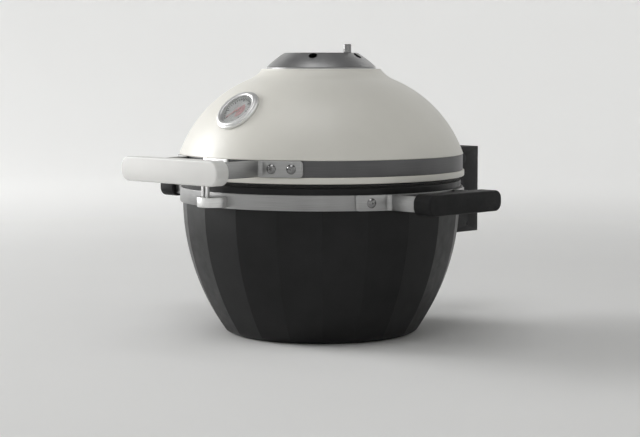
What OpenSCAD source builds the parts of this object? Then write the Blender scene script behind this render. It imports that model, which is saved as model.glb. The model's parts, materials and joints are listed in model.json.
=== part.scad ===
// Table-top ceramic kamado grill. The front is -Y, the hinge +Y, and the bowl stands on Z = 0.

/* [Rim and bands] */
// Outer radius of the bowl rim and of the lid's band groove
rim_r = 148; // [135:1:165]
// Thickness of the ceramic walls
wall = 16; // [12:0.5:20]
// Thickness of the two steel bands
band_t = 1.8; // [1:0.1:2.5]
// Height of the band round the bowl
base_band_h = 15.5; // [12:0.5:20]
// Height of the band round the lid
lid_band_h = 16.5; // [13:0.5:20]
// Bare rim of the bowl above its band
rim_above_band = 7; // [4:0.5:10]

/* [Bowl] */
// Height of the bowl up to its rim face
bowl_h = 162.5; // [150:0.5:180]
// Number of flat facets round the bowl
bowl_facets = 20; // [12:4:28]
// How far the facet edges sit inside the rim
facet_inset = 0.8; // [0.2:0.1:3]
// Radius of the bowl's upright curve
bowl_curve_r = 240; // [220:1:300]
// Rounding between the wall and the foot
foot_round_r = 12; // [6:0.5:18]
// Thickness of the bowl's floor
floor_t = 16; // [10:0.5:22]
// Radius of the air and flame port in the floor
port_r = 45; // [30:1:52]
// Depth of the cooking grate's ledge below the rim face
ledge_drop = 20; // [14:0.5:30]
// Width of that ledge
ledge_w = 6; // [4:0.5:9]

/* [Lid] */
// Height of the lip below the lid's band
lip_h = 6.5; // [4:0.5:10]
// How far the lip stands out past the band groove
lip_out = 3.5; // [2.2:0.1:5]
// How far the dome's lower edge stands out past the band groove
dome_out = 2.3; // [1.5:0.1:4]
// Radius of the dome's curve
dome_curve_r = 130; // [120:1:142]
// Lean of the dome at its lower edge
dome_edge_angle = 19; // [14:1:24]
// Radius of the flat flange under the vent
flange_r = 63.5; // [58:0.5:70]
// Rise of the flange above the dome's curve
neck_rise = 6.6; // [4:0.1:9]
// Hollow between the dome and the flange
neck_fillet_r = 34; // [20:1:45]
// Radius of the lid's chimney hole
chimney_r = 46; // [38:0.5:50]

/* [Gaskets] */
// Thickness of each felt gasket
gasket_t = 1.85; // [1:0.05:3]
// Width of each felt gasket
gasket_w = 12; // [8:0.5:14]
// Space left between the two gaskets
gasket_gap = 0.3; // [0.2:0.05:1]
// Inset of the gaskets from the edge of the rim
gasket_inset = 2; // [1:0.5:3]

/* [Handles] */
// Thickness of the bent steel brackets
strap_t = 2.5; // [1.5:0.1:4]
// Bend radius of the brackets at mid-thickness
bend_r = 6; // [4:0.5:10]
// Reach of the front grip from the brackets' plates
front_reach = 61.6; // [48:0.1:80]
// Depth of the front grip, front to back
front_grip_d = 16; // [11:0.5:22]
// Corner radius of the front grip's ends
front_grip_round = 11; // [4:0.5:12]
// Length of the front grip
front_grip_l = 144; // [128:1:170]
// Height of the front grip
front_grip_h = 24.5; // [18:0.5:30]
// Front grip's middle below the middle of the lid band
front_grip_drop = 1.5; // [0:0.5:4]
// Front bracket arms, out from the middle
front_arm_x = 54; // [44:0.5:58]
// Length of each front bracket's plate on the band
front_plate_l = 40; // [36:0.5:50]
// Reach of the side grips from the brackets' plates
side_reach = 48; // [37:0.1:62]
// Depth of the side grips, inside to outside
side_grip_d = 22; // [14:0.5:26]
// Corner radius of the side grips' ends
side_grip_round = 8.5; // [3:0.5:10]
// Length of the side grips
side_grip_l = 110; // [106:1:130]
// Height of the side grips
side_grip_h = 21; // [16:0.5:26]
// Side grips' middle below the middle of the base band
side_grip_drop = 0.5; // [0:0.5:4]
// Side bracket arms, out from the middle
side_arm_x = 49; // [40:0.5:50]
// Length of each side bracket's plate on the band
side_plate_l = 32; // [26:0.5:36]
// Length of the bracket feet behind the grips
foot_l = 18; // [14:0.5:22]

/* [Fasteners] */
// Shank radius of the button-head bolts
bolt_r = 2.5; // [2:0.1:3]
// Head radius of the button-head bolts
bolt_head_r = 4.9; // [4:0.1:5.5]
// Head height of the button-head bolts
bolt_head_h = 2.9; // [2:0.1:4]
// Shank radius of the grip screws
screw_r = 2; // [1.5:0.1:2.5]
// Depth of the grip screws in the grip
screw_depth = 9; // [6:0.5:9.5]

/* [Front catch] */
// Width of the catch tongue
tongue_w = 9; // [7.5:0.5:12]
// Thickness of the catch tongue
tongue_t = 3; // [2:0.1:4]
// Outer face of the tongue, out from the rim
tongue_out = 18; // [14:0.5:22]
// Depth of the tongue's tip below the top of the keeper
tongue_engage = 8; // [4:0.5:9]
// Half the width of the keeper strap where it meets the band
keeper_half_w = 12.5; // [11:0.1:18]
// Height of the keeper strap
keeper_h = 10; // [8:0.5:12]
// Thickness of the keeper strap
keeper_t = 2.2; // [1.5:0.1:3]

/* [Hinge] */
// Half the width of the hinge housing
hinge_half_w = 40; // [34:0.5:46]
// Height of the hinge housing
hinge_h = 96; // [84:0.5:105]
// Depth of the hinge housing out from the rim
hinge_out = 65; // [58:0.5:75]
// Thickness of the hinge plates
hinge_t = 3; // [2:0.1:4]
// Hinge pin, out from the rim
pin_out = 34; // [30:0.5:38]
// Radius of the hinge pin
pin_r = 4; // [3:0.1:5]
// Radius of the lid arm's eyes
eye_r = 9.5; // [8:0.1:11]
// Lever from the hinge pin to the spring's upper pin
tail_l = 16; // [14:0.5:18]
// Angle of the tail above level when the lid is shut
tail_angle = 30; // [24:1:34]
// Travel of the lid in degrees
lid_travel = 75; // [60:1:80]
// Radius of the spring's two pins
spring_pin_r = 2.5; // [2:0.1:3]
// Radius of the spring's coil at mid-wire
coil_r = 7; // [6:0.1:8]
// Radius of the spring's wire
wire_r = 1; // [0.8:0.05:1.2]
// Turns of the spring's coil
coil_turns = 14; // [10:1:16]

/* [Thermometer] */
// Radius of the thermometer's case at its skirt
case_r = 24.5; // [23.5:0.5:28]
// Radius of the bezel that stands on the skirt
bezel_r = 22.8; // [20.5:0.1:23.2]
// Height of the skirt above its seat
skirt_h = 3.4; // [2.5:0.1:4.2]
// Height of the whole case above its seat
case_h = 5.5; // [5:0.5:8]
// Radius of the dial
dial_r = 18.2; // [15:0.1:19]
// Angle up the dome's curve to the dial
dial_angle = 44; // [38:1:48]
// Radius of the probe
probe_r = 2.5; // [1.5:0.1:3.5]
// Length of the probe below the seat
probe_l = 68; // [55:1:75]
// Direction of the needle when cold, counted from the dial's right
needle_rest = 230; // [200:1:260]

/* [Vent] */
// Radius of the vent cap at its lower edge
cap_r = 58; // [52:0.5:60]
// Radius of the vent cap's flat top
cap_top_r = 38.5; // [34:0.5:42]
// Height of the vent cap
cap_h = 15; // [13:0.5:19]
// Bulge of the cap's sloping side
cap_bulge = 0.6; // [0.3:0.1:2]
// Thickness of the vent's metal
vent_t = 1.6; // [1.2:0.1:2]
// Number of vent holes
vent_holes = 5; // [3:1:6]
// Radius of the vent holes
vent_hole_r = 4.5; // [3:0.1:4.7]
// Angle of the first vent hole from the front
vent_phase = 33; // [0:1:60]
// Radius of the vent knob
knob_r = 4.2; // [3:0.1:4.8]
// Angle of the knob from the front
knob_angle = 98; // [90:1:100]
// Height of the vent knob
knob_h = 9; // [7:0.5:13]

/* [Inside] */
// Height of the fire ring
ring_h = 76; // [60:1:90]
// Wall of the fire ring
ring_t = 12; // [9:0.5:14]
// Thickness of the fire grate
fire_grate_t = 6; // [4:0.5:9]
// Thickness of the heat deflector
deflector_t = 9; // [6:0.5:14]
// Wire radius of the cooking grate's rim
grate_rim_r = 2.5; // [2:0.1:3]
// Wire radius of the cooking grate's bars
grate_bar_r = 1.8; // [1.4:0.1:2.2]
// Spacing of the cooking grate's bars
grate_pitch = 14; // [11:0.5:18]

/* [Hidden] */
$fn = 96;

// Clearances
bolt_gap = 0.1;
seat_gap = 0.1;
run_gap = 0.06;
swing_gap = 0.6;
lift_gap = 1;
head_gap = 0.03;
pin_side_gap = 0.2;
// How far a cut runs past the face that it opens
over = 1;

// Heights
base_band_z = bowl_h - rim_above_band - base_band_h;
lid_z = bowl_h + 2 * gasket_t + gasket_gap;
lid_band_z = lid_z + lip_h;
dome_z = lid_band_z + lid_band_h;
base_mid_z = base_band_z + base_band_h / 2;
lid_mid_z = lid_band_z + lid_band_h / 2;

// Outer faces of the bands, where everything is bolted
band_in_r = rim_r + seat_gap;
band_out_r = band_in_r + band_t;

// The bowl's curve: an arc that stands upright under the base band
facet_angle = 360 / bowl_facets;
// The facets are cut off the axes and then turned back, which keeps their edges clean
facet_skew = facet_angle / 3;
bowl_flat_r = (rim_r - facet_inset) * cos(facet_angle / 2);
bowl_arc_x = bowl_flat_r - bowl_curve_r;
foot_x = bowl_arc_x + sqrt(pow(bowl_curve_r - foot_round_r, 2) - pow(base_band_z - foot_round_r, 2));
foot_turn = [foot_x - bowl_arc_x, foot_round_r - base_band_z] * bowl_curve_r / (bowl_curve_r - foot_round_r);
foot_start = [foot_x, 0];
foot_end = [bowl_arc_x + foot_turn[0], base_band_z + foot_turn[1]];
foot_lean = (atan2(foot_turn[1], foot_turn[0]) - 90) / 2;
foot_mid = [foot_x + foot_round_r * cos(foot_lean), foot_round_r + foot_round_r * sin(foot_lean)];
// Two chords stand for the foot's rounding; both run on past the bowl's outline
foot_cut = [
  foot_start + (foot_start - foot_mid), foot_mid, foot_end + 2 * (foot_end - foot_mid),
  [2 * rim_r, foot_end[1] + foot_round_r], [2 * rim_r, -2 * foot_round_r]
];
cavity_r = bowl_flat_r - wall;
cavity_curve_r = bowl_curve_r - wall - ledge_w;
ledge_z = bowl_h - ledge_drop;
function cavity_at(z) = bowl_arc_x + sqrt(pow(cavity_curve_r, 2) - pow(base_band_z - z, 2));

// The dome's curve and its neck
dome_edge_r = rim_r + dome_out;
dome_c = [dome_edge_r - dome_curve_r * cos(dome_edge_angle), dome_z - dome_curve_r * sin(dome_edge_angle)];
function dome_top(r) = dome_c[1] + sqrt(pow(dome_curve_r, 2) - pow(r - dome_c[0], 2));
flange_z = dome_top(flange_r) + neck_rise;
flange_edge_h = 1.2;
flange_edge_w = 1;
flange_edge = [flange_r, flange_z - flange_edge_h];
lid_inner_r = dome_curve_r - wall;

// Centre of the circle of radius s through q that touches the circle of radius r about p from outside
function touching(p, r, q, s) =
  let (a = q - p, n = norm(a), reach = r + s)
  let (k = (reach * reach - s * s + n * n) / (2 * n), h = sqrt(reach * reach - k * k))
  p + a * k / n + [a[1], -a[0]] * h / n;
neck_c = touching(dome_c, dome_curve_r, flange_edge, neck_fillet_r);
neck_end = dome_c + (neck_c - dome_c) * dome_curve_r / norm(neck_c - dome_c);

// Brackets: the bend between the arm and the plate on the band
function bend_c(arm_x) =
  [arm_x + bend_r, -sqrt(pow(band_out_r + strap_t / 2 + bend_r, 2) - pow(arm_x + bend_r, 2))];
function bend_angle(arm_x) = asin((arm_x + bend_r) / (band_out_r + strap_t / 2 + bend_r));
function along_band(mm) = mm / band_out_r * 180 / PI;
strap_out_r = band_out_r + strap_t;
plate_round_r = 4;
bend_thin = 0.15;
bend_overlap = 2;
front_bolt_first = 8.5;
front_bolt_pitch = 20;
front_bolt_angles = [
  bend_angle(front_arm_x) + along_band(front_bolt_first),
  bend_angle(front_arm_x) + along_band(front_bolt_first + front_bolt_pitch)
];
side_bolt_angle = bend_angle(side_arm_x) + along_band(side_plate_l / 2);
front_grip_y = strap_out_r + front_reach;
side_grip_y = strap_out_r + side_reach;
front_back_y = front_grip_y - front_grip_d;
side_back_y = side_grip_y - side_grip_d;
front_grip_z = lid_mid_z - front_grip_drop;
side_grip_z = base_mid_z - side_grip_drop;
screw_inset = 8;
screw_head_r = 3.8;
screw_head_h = 2.2;
screw_socket_r = 0.45 * screw_head_r;
screw_socket_depth = 1.2;
screw_end_gap = 0.5;
bolt_socket_r = 0.42 * bolt_head_r;
bolt_socket_depth = 1.6;
bolt_hole_in = 2;
bolt_hole_l = 14;

// Catch
catch_bolt_x = 10.5;
catch_plate_half = 17.5;
tongue_r = rim_r + tongue_out;
keeper_room = 2.4;
keeper_lift = 1.5;
keeper_z = base_band_z + keeper_lift;
keeper_apex = tongue_r + keeper_room;
keeper_foot_y = sqrt(pow(band_out_r, 2) - pow(keeper_half_w, 2));
keeper_rise = keeper_apex - keeper_foot_y;
keeper_bow_r = (pow(keeper_half_w, 2) + pow(keeper_rise, 2)) / (2 * keeper_rise);
tongue_tip_z = keeper_z + keeper_h - tongue_engage;

// Hinge
hinge_back = rim_r + hinge_out;
hinge_above_band = 1.5;
hinge_top = dome_z + hinge_above_band;
hinge_bottom = hinge_top - hinge_h;
pin_y = rim_r + pin_out;
pin_above_lip = 5;
pin_z = lid_band_z + pin_above_lip;
tail_y = pin_y + tail_l * cos(tail_angle);
tail_z = pin_z + tail_l * sin(tail_angle);
tail_eye_t = 2;
tail_eye_r = spring_pin_r + tail_eye_t;
arm_out = hinge_half_w - hinge_t - swing_gap;
anchor_rise = 9;
anchor_z = hinge_bottom + anchor_rise;
cheek_out = 10;
cheek_front = rim_r + cheek_out;
hinge_bolt_x = 20;
pin_head_r = 6.5;
pin_head_h = 3;
clip_t = 2;
arm_end_gap = 0.4;
arm_low = 1.5;
arm_high = 0.5;
arm_meet = 10;

// Spring: hooks round both pins, with the coil between them
hook_gap = 0.3;
hook_r = spring_pin_r + wire_r + hook_gap;
hook_lead = 7;
hook_step = [0, hook_r + 1, 4];
coil_z0 = anchor_z + hook_r + hook_lead;
coil_z1 = tail_z - hook_r - hook_lead;
curl_rings = 8;
hook_steps = 10;
hook_sweep = 250;
tube_sides = 6;
function hook_point(z, a) = [0, tail_y + hook_r * cos(a), z + hook_r * sin(a)];
spring_path = concat(
  [for (i = [0 : hook_steps]) hook_point(anchor_z, -hook_sweep + hook_sweep * i / hook_steps)],
  [[0, tail_y + hook_step[1], anchor_z + hook_step[2]]],
  [for (i = [0 : coil_turns * curl_rings])
    [coil_r * sin(360 * i / curl_rings), tail_y + coil_r * cos(360 * i / curl_rings),
     coil_z0 + (coil_z1 - coil_z0) * i / (coil_turns * curl_rings)]],
  [[0, tail_y + hook_step[1], tail_z - hook_step[2]]],
  [for (i = [0 : hook_steps]) hook_point(tail_z, hook_sweep * i / hook_steps)]
);
spring_last = len(spring_path) - 1;
spring_gap = min([for (i = [0 : spring_last - curl_rings + 2]) for (j = [i + curl_rings - 2 : spring_last])
  norm(spring_path[i] - spring_path[j]) - 2 * wire_r]);
echo(least_gap_between_spring_turns = spring_gap);

// Thermometer seat: a flat spot on the dome
seat_land = 1;
seat_rim_gap = 0.4;
seat_cut_h = 30;
dial_sag = dome_curve_r - sqrt(pow(dome_curve_r, 2) - pow(case_r + seat_land, 2));
seat_at = dome_curve_r - dial_sag;
seat_pos = dome_c + seat_at * [cos(dial_angle), sin(dial_angle)];
stud_step = 2;
stud_r = probe_r + stud_step;
stud_gap = 0.4;
stud_hole_r = stud_r + stud_gap;
dial_t = 0.6;
dial_floor = 1.2;
glass_t = 1;
glass_drop = 0.5;
needle_lift = 0.6;
needle_z = dial_floor + dial_t + needle_lift;
needle_t = 0.5;
needle_clear = 4.5;
needle_l = dial_r - needle_clear;
needle_hub_r = 2.4;
needle_tail = 4.5;
needle_tail_w = 1.8;
needle_tip_w = 0.6;
post_above = 0.4;
post_r = 1;
nut_r = 8;
nut_t = 5;
nut_land = 0.5;
stud_past_nut = 3;
nut_sag = lid_inner_r - sqrt(pow(lid_inner_r, 2) - pow(nut_r + nut_land, 2));
nut_top = lid_inner_r - seat_at - nut_sag - seat_gap;

// Vent: a fixed base with the turning cap over it
base_plate_t = 1.4;
cap_lift = 0.4;
cap_z = flange_z + base_plate_t + cap_lift;
cap_top = cap_z + cap_h;
cap_chord = norm([cap_r - cap_top_r, cap_h]);
cap_curve_r = (pow(cap_chord / 2, 2) + pow(cap_bulge, 2)) / (2 * cap_bulge);
cap_c = [(cap_r + cap_top_r) / 2, cap_h / 2]
  - [cap_h, cap_r - cap_top_r] / cap_chord * (cap_curve_r - cap_bulge);
vent_gap = 0.5;
vent_hole_drop = 3.1;
vent_hole_l = 16;
vent_hole_z = cap_h - vent_hole_drop;
vent_hole_at = [cap_c[0] + sqrt(pow(cap_curve_r, 2) - pow(vent_hole_z - cap_c[1], 2)), vent_hole_z];
vent_lean = atan2(vent_hole_at[1] - cap_c[1], vent_hole_at[0] - cap_c[0]);
spigot_t = 2;
spigot_h = 16;
spigot_gap = 0.4;
base_plate_inset = 0.5;
vent_screw_r = 2.5;
vent_screw_sink = 0.1;
vent_screw_head_h = vent_t - 2 * vent_screw_sink;
vent_screw_l = 14;
vent_slot_w = 1.2;
vent_slot_depth = 0.8;
vent_nut_r = 4.6;
vent_nut_h = 4;
vent_nut_gap = 0.2;
sink_gap = 0.5;
sink_land = 0.15;
knob_inset = 0.6;
knob_chamfer = 0.6;
knob_shoulder = 1.6;
knob_at_r = cap_top_r - knob_r - knob_inset;
knob_pin_r = knob_r - knob_shoulder;

// Inside
ring_gap = 4;
fire_grate_gap = 4;
ring_bottom_r = cavity_at(floor_t) - ring_gap;
ring_top_z = floor_t + ring_h;
ring_top_r = cavity_at(ring_top_z) - ring_gap;
fire_grate_r = ring_bottom_r - ring_t - fire_grate_gap;
grate_r = cavity_r - lift_gap - grate_rim_r;
grate_z = ledge_z + grate_rim_r;
grate_bar_inset = 6;
grate_bars = floor((grate_r - grate_bar_inset) / grate_pitch);
bar_weld = 2.2;

// Turns the front to an angle, counted towards +X
module around(a) { rotate([0, 0, a]) children(); }

// Both sides of the middle plane
module both_sides() {
  children();
  mirror([1, 0, 0]) children();
}

module tube(r_in, r_out, h) {
  difference() {
    cylinder(r = r_out, h = h);
    translate([0, 0, -over]) cylinder(r = r_in, h = h + 2 * over);
  }
}

function on_circle(r, a) = [r * sin(a), -r * cos(a)];

module sector(r_in, r_out, a0, a1) {
  far = 2 * r_out;
  intersection() {
    difference() {
      circle(r_out);
      circle(r_in);
    }
    polygon([[0, 0], on_circle(far, a0), on_circle(far, (a0 + a1) / 2), on_circle(far, a1)]);
  }
}

// Outline from above of a bracket on the +X side of the front
module strap_outline(arm_x, back_y, plate_l) {
  c = bend_c(arm_x);
  a = bend_angle(arm_x);
  to_axis = -c / norm(c);
  between = (to_axis + [-1, 0]) / norm(to_axis + [-1, 0]);
  far = 3 * bend_r;
  apex = c - bend_overlap * between;
  sector(band_out_r, strap_out_r, a, a + along_band(plate_l));
  intersection() {
    translate(c) difference() {
      circle(bend_r + strap_t / 2 - bend_thin);
      circle(bend_r - strap_t / 2 + bend_thin);
    }
    polygon([apex, apex + [-far, 0], apex + far * between, apex + far * to_axis]);
  }
  translate([arm_x - strap_t / 2, -back_y]) square([strap_t, back_y + c[1]]);
  translate([arm_x + strap_t / 2 - foot_l, -back_y]) square([foot_l, strap_t]);
}

// What rounds off the free corners of a bracket's plate
module plate_corner(a, h) {
  around(a) translate([0, -band_out_r + plate_round_r, 0]) rotate([90, 0, 0])
    linear_extrude(strap_t + 2 * plate_round_r)
      difference() {
        translate([-plate_round_r, -over]) square([plate_round_r + over, h + 2 * over]);
        for (z = [plate_round_r, h - plate_round_r]) translate([-plate_round_r, z]) circle(plate_round_r);
        translate([-plate_round_r - over, plate_round_r])
          square([plate_round_r + over, h - 2 * plate_round_r]);
      }
}

module bracket(arm_x, back_y, plate_l, h, bolt_angles, screw_z) {
  difference() {
    linear_extrude(h) strap_outline(arm_x, back_y, plate_l);
    plate_corner(bend_angle(arm_x) + along_band(plate_l), h);
    for (a = bolt_angles) bolt_hole(a, h / 2);
    translate([arm_x - foot_l + screw_inset, -back_y, screw_z])
      rotate([90, 0, 0]) cylinder(r = screw_r + bolt_gap, h = 4 * strap_t, center = true);
  }
}

// A radial hole through a band and what is bolted to it
module bolt_hole(a, z) {
  around(a) translate([0, -band_in_r + bolt_hole_in, z]) rotate([90, 0, 0])
    cylinder(r = bolt_r + bolt_gap, h = bolt_hole_l);
}

// A button-head bolt whose head sits on a plate of radius seat_r
module bolt(a, z, seat_r) {
  dome_r = (pow(bolt_head_r, 2) + pow(bolt_head_h, 2)) / (2 * bolt_head_h);
  around(a) translate([0, -seat_r - head_gap, z]) rotate([90, 0, 0]) difference() {
    union() {
      rotate_extrude() intersection() {
        translate([0, bolt_head_h - dome_r]) circle(dome_r);
        square([bolt_head_r, bolt_head_h]);
      }
      translate([0, 0, band_in_r - seat_r]) cylinder(r = bolt_r, h = seat_r - band_in_r + over);
    }
    translate([0, 0, bolt_head_h - bolt_socket_depth])
      cylinder(r = bolt_socket_r, h = bolt_socket_depth + over, $fn = 6);
  }
}

// A grip with round ends, its front face at reach
module grip(reach, l, h, d, round_r, z) {
  translate([0, -reach + d, z]) rotate([90, 0, 0]) linear_extrude(d) {
    square([l - 2 * round_r, h], center = true);
    square([l, h - 2 * round_r], center = true);
    for (sx = [-1, 1], sz = [-1, 1]) translate([sx * (l / 2 - round_r), sz * (h / 2 - round_r)])
      circle(round_r);
  }
}

// Screw holes and screws behind a grip
module grip_screw_holes(arm_x, back_y, z) {
  both_sides() translate([arm_x - foot_l + screw_inset, -back_y + over, z]) rotate([90, 0, 0])
    cylinder(r = screw_r + bolt_gap, h = screw_depth + over + screw_end_gap);
}

module grip_screw_set(arm_x, back_y, z) {
  screw_x = arm_x - foot_l + screw_inset;
  both_sides() translate([screw_x, -back_y + strap_t, z]) rotate([90, 0, 0]) difference() {
    union() {
      translate([0, 0, -screw_head_h]) cylinder(r = screw_head_r, h = screw_head_h);
      cylinder(r = screw_r, h = strap_t + screw_depth);
    }
    translate([0, 0, -screw_head_h - over])
      cylinder(r = screw_socket_r, h = screw_socket_depth + over, $fn = 6);
  }
}

// Two opposite facets of the bowl, as an upright slab through the middle
module bowl_slab() {
  rotate([90, 0, 0]) linear_extrude(3 * rim_r, center = true) intersection() {
    translate([bowl_arc_x, base_band_z]) rotate(180) circle(bowl_curve_r, $fn = 240);
    translate([-bowl_arc_x, base_band_z]) circle(bowl_curve_r, $fn = 240);
    translate([-rim_r, 0]) square([2 * rim_r, base_band_z + over]);
  }
}

module base_bowl() {
  color("#2b2c2e") difference() {
    union() {
      around(facet_skew) intersection_for (i = [0 : bowl_facets / 2 - 1])
        around(i * facet_angle - facet_skew) bowl_slab();
      translate([0, 0, base_band_z]) cylinder(r = rim_r, h = bowl_h - base_band_z);
    }
    rotate_extrude($fn = 180) {
      intersection() {
        translate([bowl_arc_x, base_band_z]) circle(cavity_curve_r, $fn = 240);
        translate([0, floor_t]) square([rim_r, ledge_z - floor_t + over]);
      }
      translate([0, ledge_z]) square([cavity_r, ledge_drop + over]);
    }
    translate([0, 0, -over]) cylinder(r = port_r, h = floor_t + 2 * over);
    rotate_extrude() polygon(foot_cut);
  }
}

module base_band() {
  color("#a9abad") difference() {
    translate([0, 0, base_band_z]) tube(band_in_r, band_out_r, base_band_h);
    for (side = [-90, 90], s = [-1, 1]) bolt_hole(side + s * side_bolt_angle, base_mid_z);
    for (s = [-1, 1]) bolt_hole(180 + s * along_band(hinge_bolt_x), base_mid_z);
  }
}

module felt_ring() {
  tube(rim_r - gasket_inset - gasket_w, rim_r - gasket_inset, gasket_t);
}

module base_gasket() {
  color("#1a1a1a") translate([0, 0, bowl_h]) felt_ring();
}

module side_grip(side) {
  color("#1d1d1e") around(side * 90) difference() {
    grip(side_grip_y, side_grip_l, side_grip_h, side_grip_d, side_grip_round, side_grip_z);
    grip_screw_holes(side_arm_x, side_back_y, base_mid_z);
  }
}

module side_bracket(side, end) {
  color("#b4b6b8") around(side * 90) mirror([end < 0 ? 1 : 0, 0, 0]) translate([0, 0, base_band_z])
    bracket(side_arm_x, side_back_y, side_plate_l, base_band_h, [side_bolt_angle], base_band_h / 2);
}

module side_bolts() {
  color("#c8cacc") for (side = [-90, 90], s = [-1, 1])
    bolt(side + s * side_bolt_angle, base_mid_z, strap_out_r);
}

module side_grip_screws() {
  color("#c8cacc") for (side = [-90, 90]) around(side) grip_screw_set(side_arm_x, side_back_y, base_mid_z);
}

module catch_keeper() {
  color("#c3c5c7") translate([0, 0, keeper_z]) linear_extrude(keeper_h) difference() {
    translate([0, keeper_bow_r - keeper_apex]) circle(keeper_bow_r + keeper_t);
    translate([0, keeper_bow_r - keeper_apex]) circle(keeper_bow_r);
    circle(band_out_r);
  }
}

// Cheek of the hinge housing, seen from the side
module cheek_outline() {
  difference() {
    union() {
      translate([cheek_front, hinge_bottom]) square([hinge_back - cheek_front, hinge_h]);
      translate([sqrt(pow(band_out_r, 2) - pow(hinge_half_w, 2)), base_band_z])
        square([hinge_back - rim_r, base_band_h]);
    }
    translate([pin_y, pin_z]) circle(pin_r + run_gap);
    translate([tail_y, anchor_z]) circle(spring_pin_r + run_gap);
  }
}

module hinge_housing() {
  color("#1b1b1c") difference() {
    union() {
      both_sides() translate([hinge_half_w - hinge_t, 0, 0]) rotate([90, 0, 90]) linear_extrude(hinge_t)
        cheek_outline();
      translate([-hinge_half_w, hinge_back - hinge_t, hinge_bottom])
        cube([2 * hinge_half_w, hinge_t, hinge_h]);
      translate([0, 0, base_band_z]) linear_extrude(base_band_h) intersection() {
        difference() {
          circle(strap_out_r);
          circle(band_out_r);
        }
        translate([-hinge_half_w, 0]) square([2 * hinge_half_w, 2 * rim_r]);
      }
    }
    translate([0, 0, base_band_z - over]) cylinder(r = band_out_r, h = base_band_h + 2 * over);
    for (s = [-1, 1]) bolt_hole(180 + s * along_band(hinge_bolt_x), base_mid_z);
  }
}

module housing_bolts() {
  color("#c8cacc") for (s = [-1, 1]) bolt(180 + s * along_band(hinge_bolt_x), base_mid_z, strap_out_r);
}

module hinge_pin() {
  color("#1f1f20") translate([0, pin_y, pin_z]) rotate([0, 90, 0]) {
    translate([0, 0, -hinge_half_w - 2 * clip_t])
      cylinder(r = pin_r, h = 2 * hinge_half_w + 2 * clip_t + over);
    translate([0, 0, hinge_half_w + pin_side_gap]) cylinder(r = pin_head_r, h = pin_head_h);
  }
}

module hinge_pin_clip() {
  color("#1f1f20") translate([-hinge_half_w - pin_side_gap - clip_t, pin_y, pin_z]) rotate([0, 90, 0])
    tube(pin_r + run_gap, pin_head_r, clip_t);
}

module spring_anchor_pin() {
  color("#1f1f20") translate([-hinge_half_w, tail_y, anchor_z]) rotate([0, 90, 0])
    cylinder(r = spring_pin_r, h = 2 * hinge_half_w);
}

function unit(v) = v / norm(v);

// A round wire swept along points, its rings carried without twist
module wire(path, r) {
  last = len(path) - 1;
  ways = [for (i = [0 : last]) unit(path[min(i + 1, last)] - path[max(i - 1, 0)])];
  first = unit(cross(ways[0], [1, 0, 0.3]));
  sides = [for (i = 0, s = first; i <= last;
    i = i + 1, s = i <= last ? unit(s - ways[i] * (s * ways[i])) : s) s];
  points = [for (i = [0 : last]) for (k = [0 : tube_sides - 1])
    let (a = 360 * k / tube_sides) path[i] + r * (cos(a) * sides[i] + sin(a) * cross(ways[i], sides[i]))];
  skin = [for (i = [0 : last - 1]) for (k = [0 : tube_sides - 1])
    let (a = i * tube_sides + k, b = i * tube_sides + (k + 1) % tube_sides)
    each [[a, a + tube_sides, b], [b, a + tube_sides, b + tube_sides]]];
  ends = [for (k = [1 : tube_sides - 2])
    each [[0, k, k + 1], [last * tube_sides, last * tube_sides + k + 1, last * tube_sides + k]]];
  polyhedron(points, concat(skin, ends));
}

module hinge_spring() {
  color("#77797b") wire(spring_path, wire_r);
}

module fire_grate() {
  hole_r = 5;
  rings = [[6, 0.36], [12, 0.72]];
  color("#232323") translate([0, 0, floor_t]) difference() {
    cylinder(r = fire_grate_r, h = fire_grate_t);
    translate([0, 0, -over]) {
      cylinder(r = hole_r, h = fire_grate_t + 2 * over);
      for (ring = rings, i = [0 : ring[0] - 1]) around(i * 360 / ring[0])
        translate([0, -ring[1] * fire_grate_r, 0]) cylinder(r = hole_r, h = fire_grate_t + 2 * over);
    }
  }
}

module fire_ring() {
  air_holes = 6;
  air_hole_r = 6;
  color("#c9b79c") difference() {
    rotate_extrude() polygon([
      [ring_bottom_r - ring_t, floor_t], [ring_bottom_r, floor_t],
      [ring_top_r, ring_top_z], [ring_top_r - ring_t, ring_top_z]
    ]);
    for (i = [0 : air_holes - 1]) around(i * 360 / air_holes) translate([0, 0, floor_t + 3 * air_hole_r])
      rotate([90, 0, 0]) cylinder(r = air_hole_r, h = 2 * rim_r);
  }
}

module heat_deflector() {
  lugs = 3;
  lug_w = 34;
  smoke_gap = 10;
  lug_inset = 1;
  disc_r = ring_top_r - ring_t - smoke_gap;
  color("#c4b294") translate([0, 0, ring_top_z]) linear_extrude(deflector_t) {
    circle(disc_r);
    for (i = [0 : lugs - 1]) around(i * 360 / lugs) intersection() {
      translate([-lug_w / 2, -rim_r]) square([lug_w, rim_r]);
      circle(ring_top_r - lug_inset);
    }
  }
}

module cooking_grate() {
  color("#b9bbbd") translate([0, 0, grate_z]) {
    rotate_extrude() translate([grate_r, 0]) circle(grate_rim_r, $fn = 24);
    for (i = [-grate_bars : grate_bars]) let (half = sqrt(pow(grate_r, 2) - pow(i * grate_pitch, 2)))
      translate([i * grate_pitch, half, 2 * grate_bar_r - bar_weld]) rotate([90, 0, 0])
        cylinder(r = grate_bar_r, h = 2 * half, $fn = 24);
    for (s = [-1, 1]) let (y = s * grate_r / 2, half = sqrt(pow(grate_r, 2) - y * y))
      translate([-half, y, 0]) rotate([0, 90, 0])
        cylinder(r = grate_bar_r, h = 2 * half, $fn = 24);
  }
}

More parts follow.
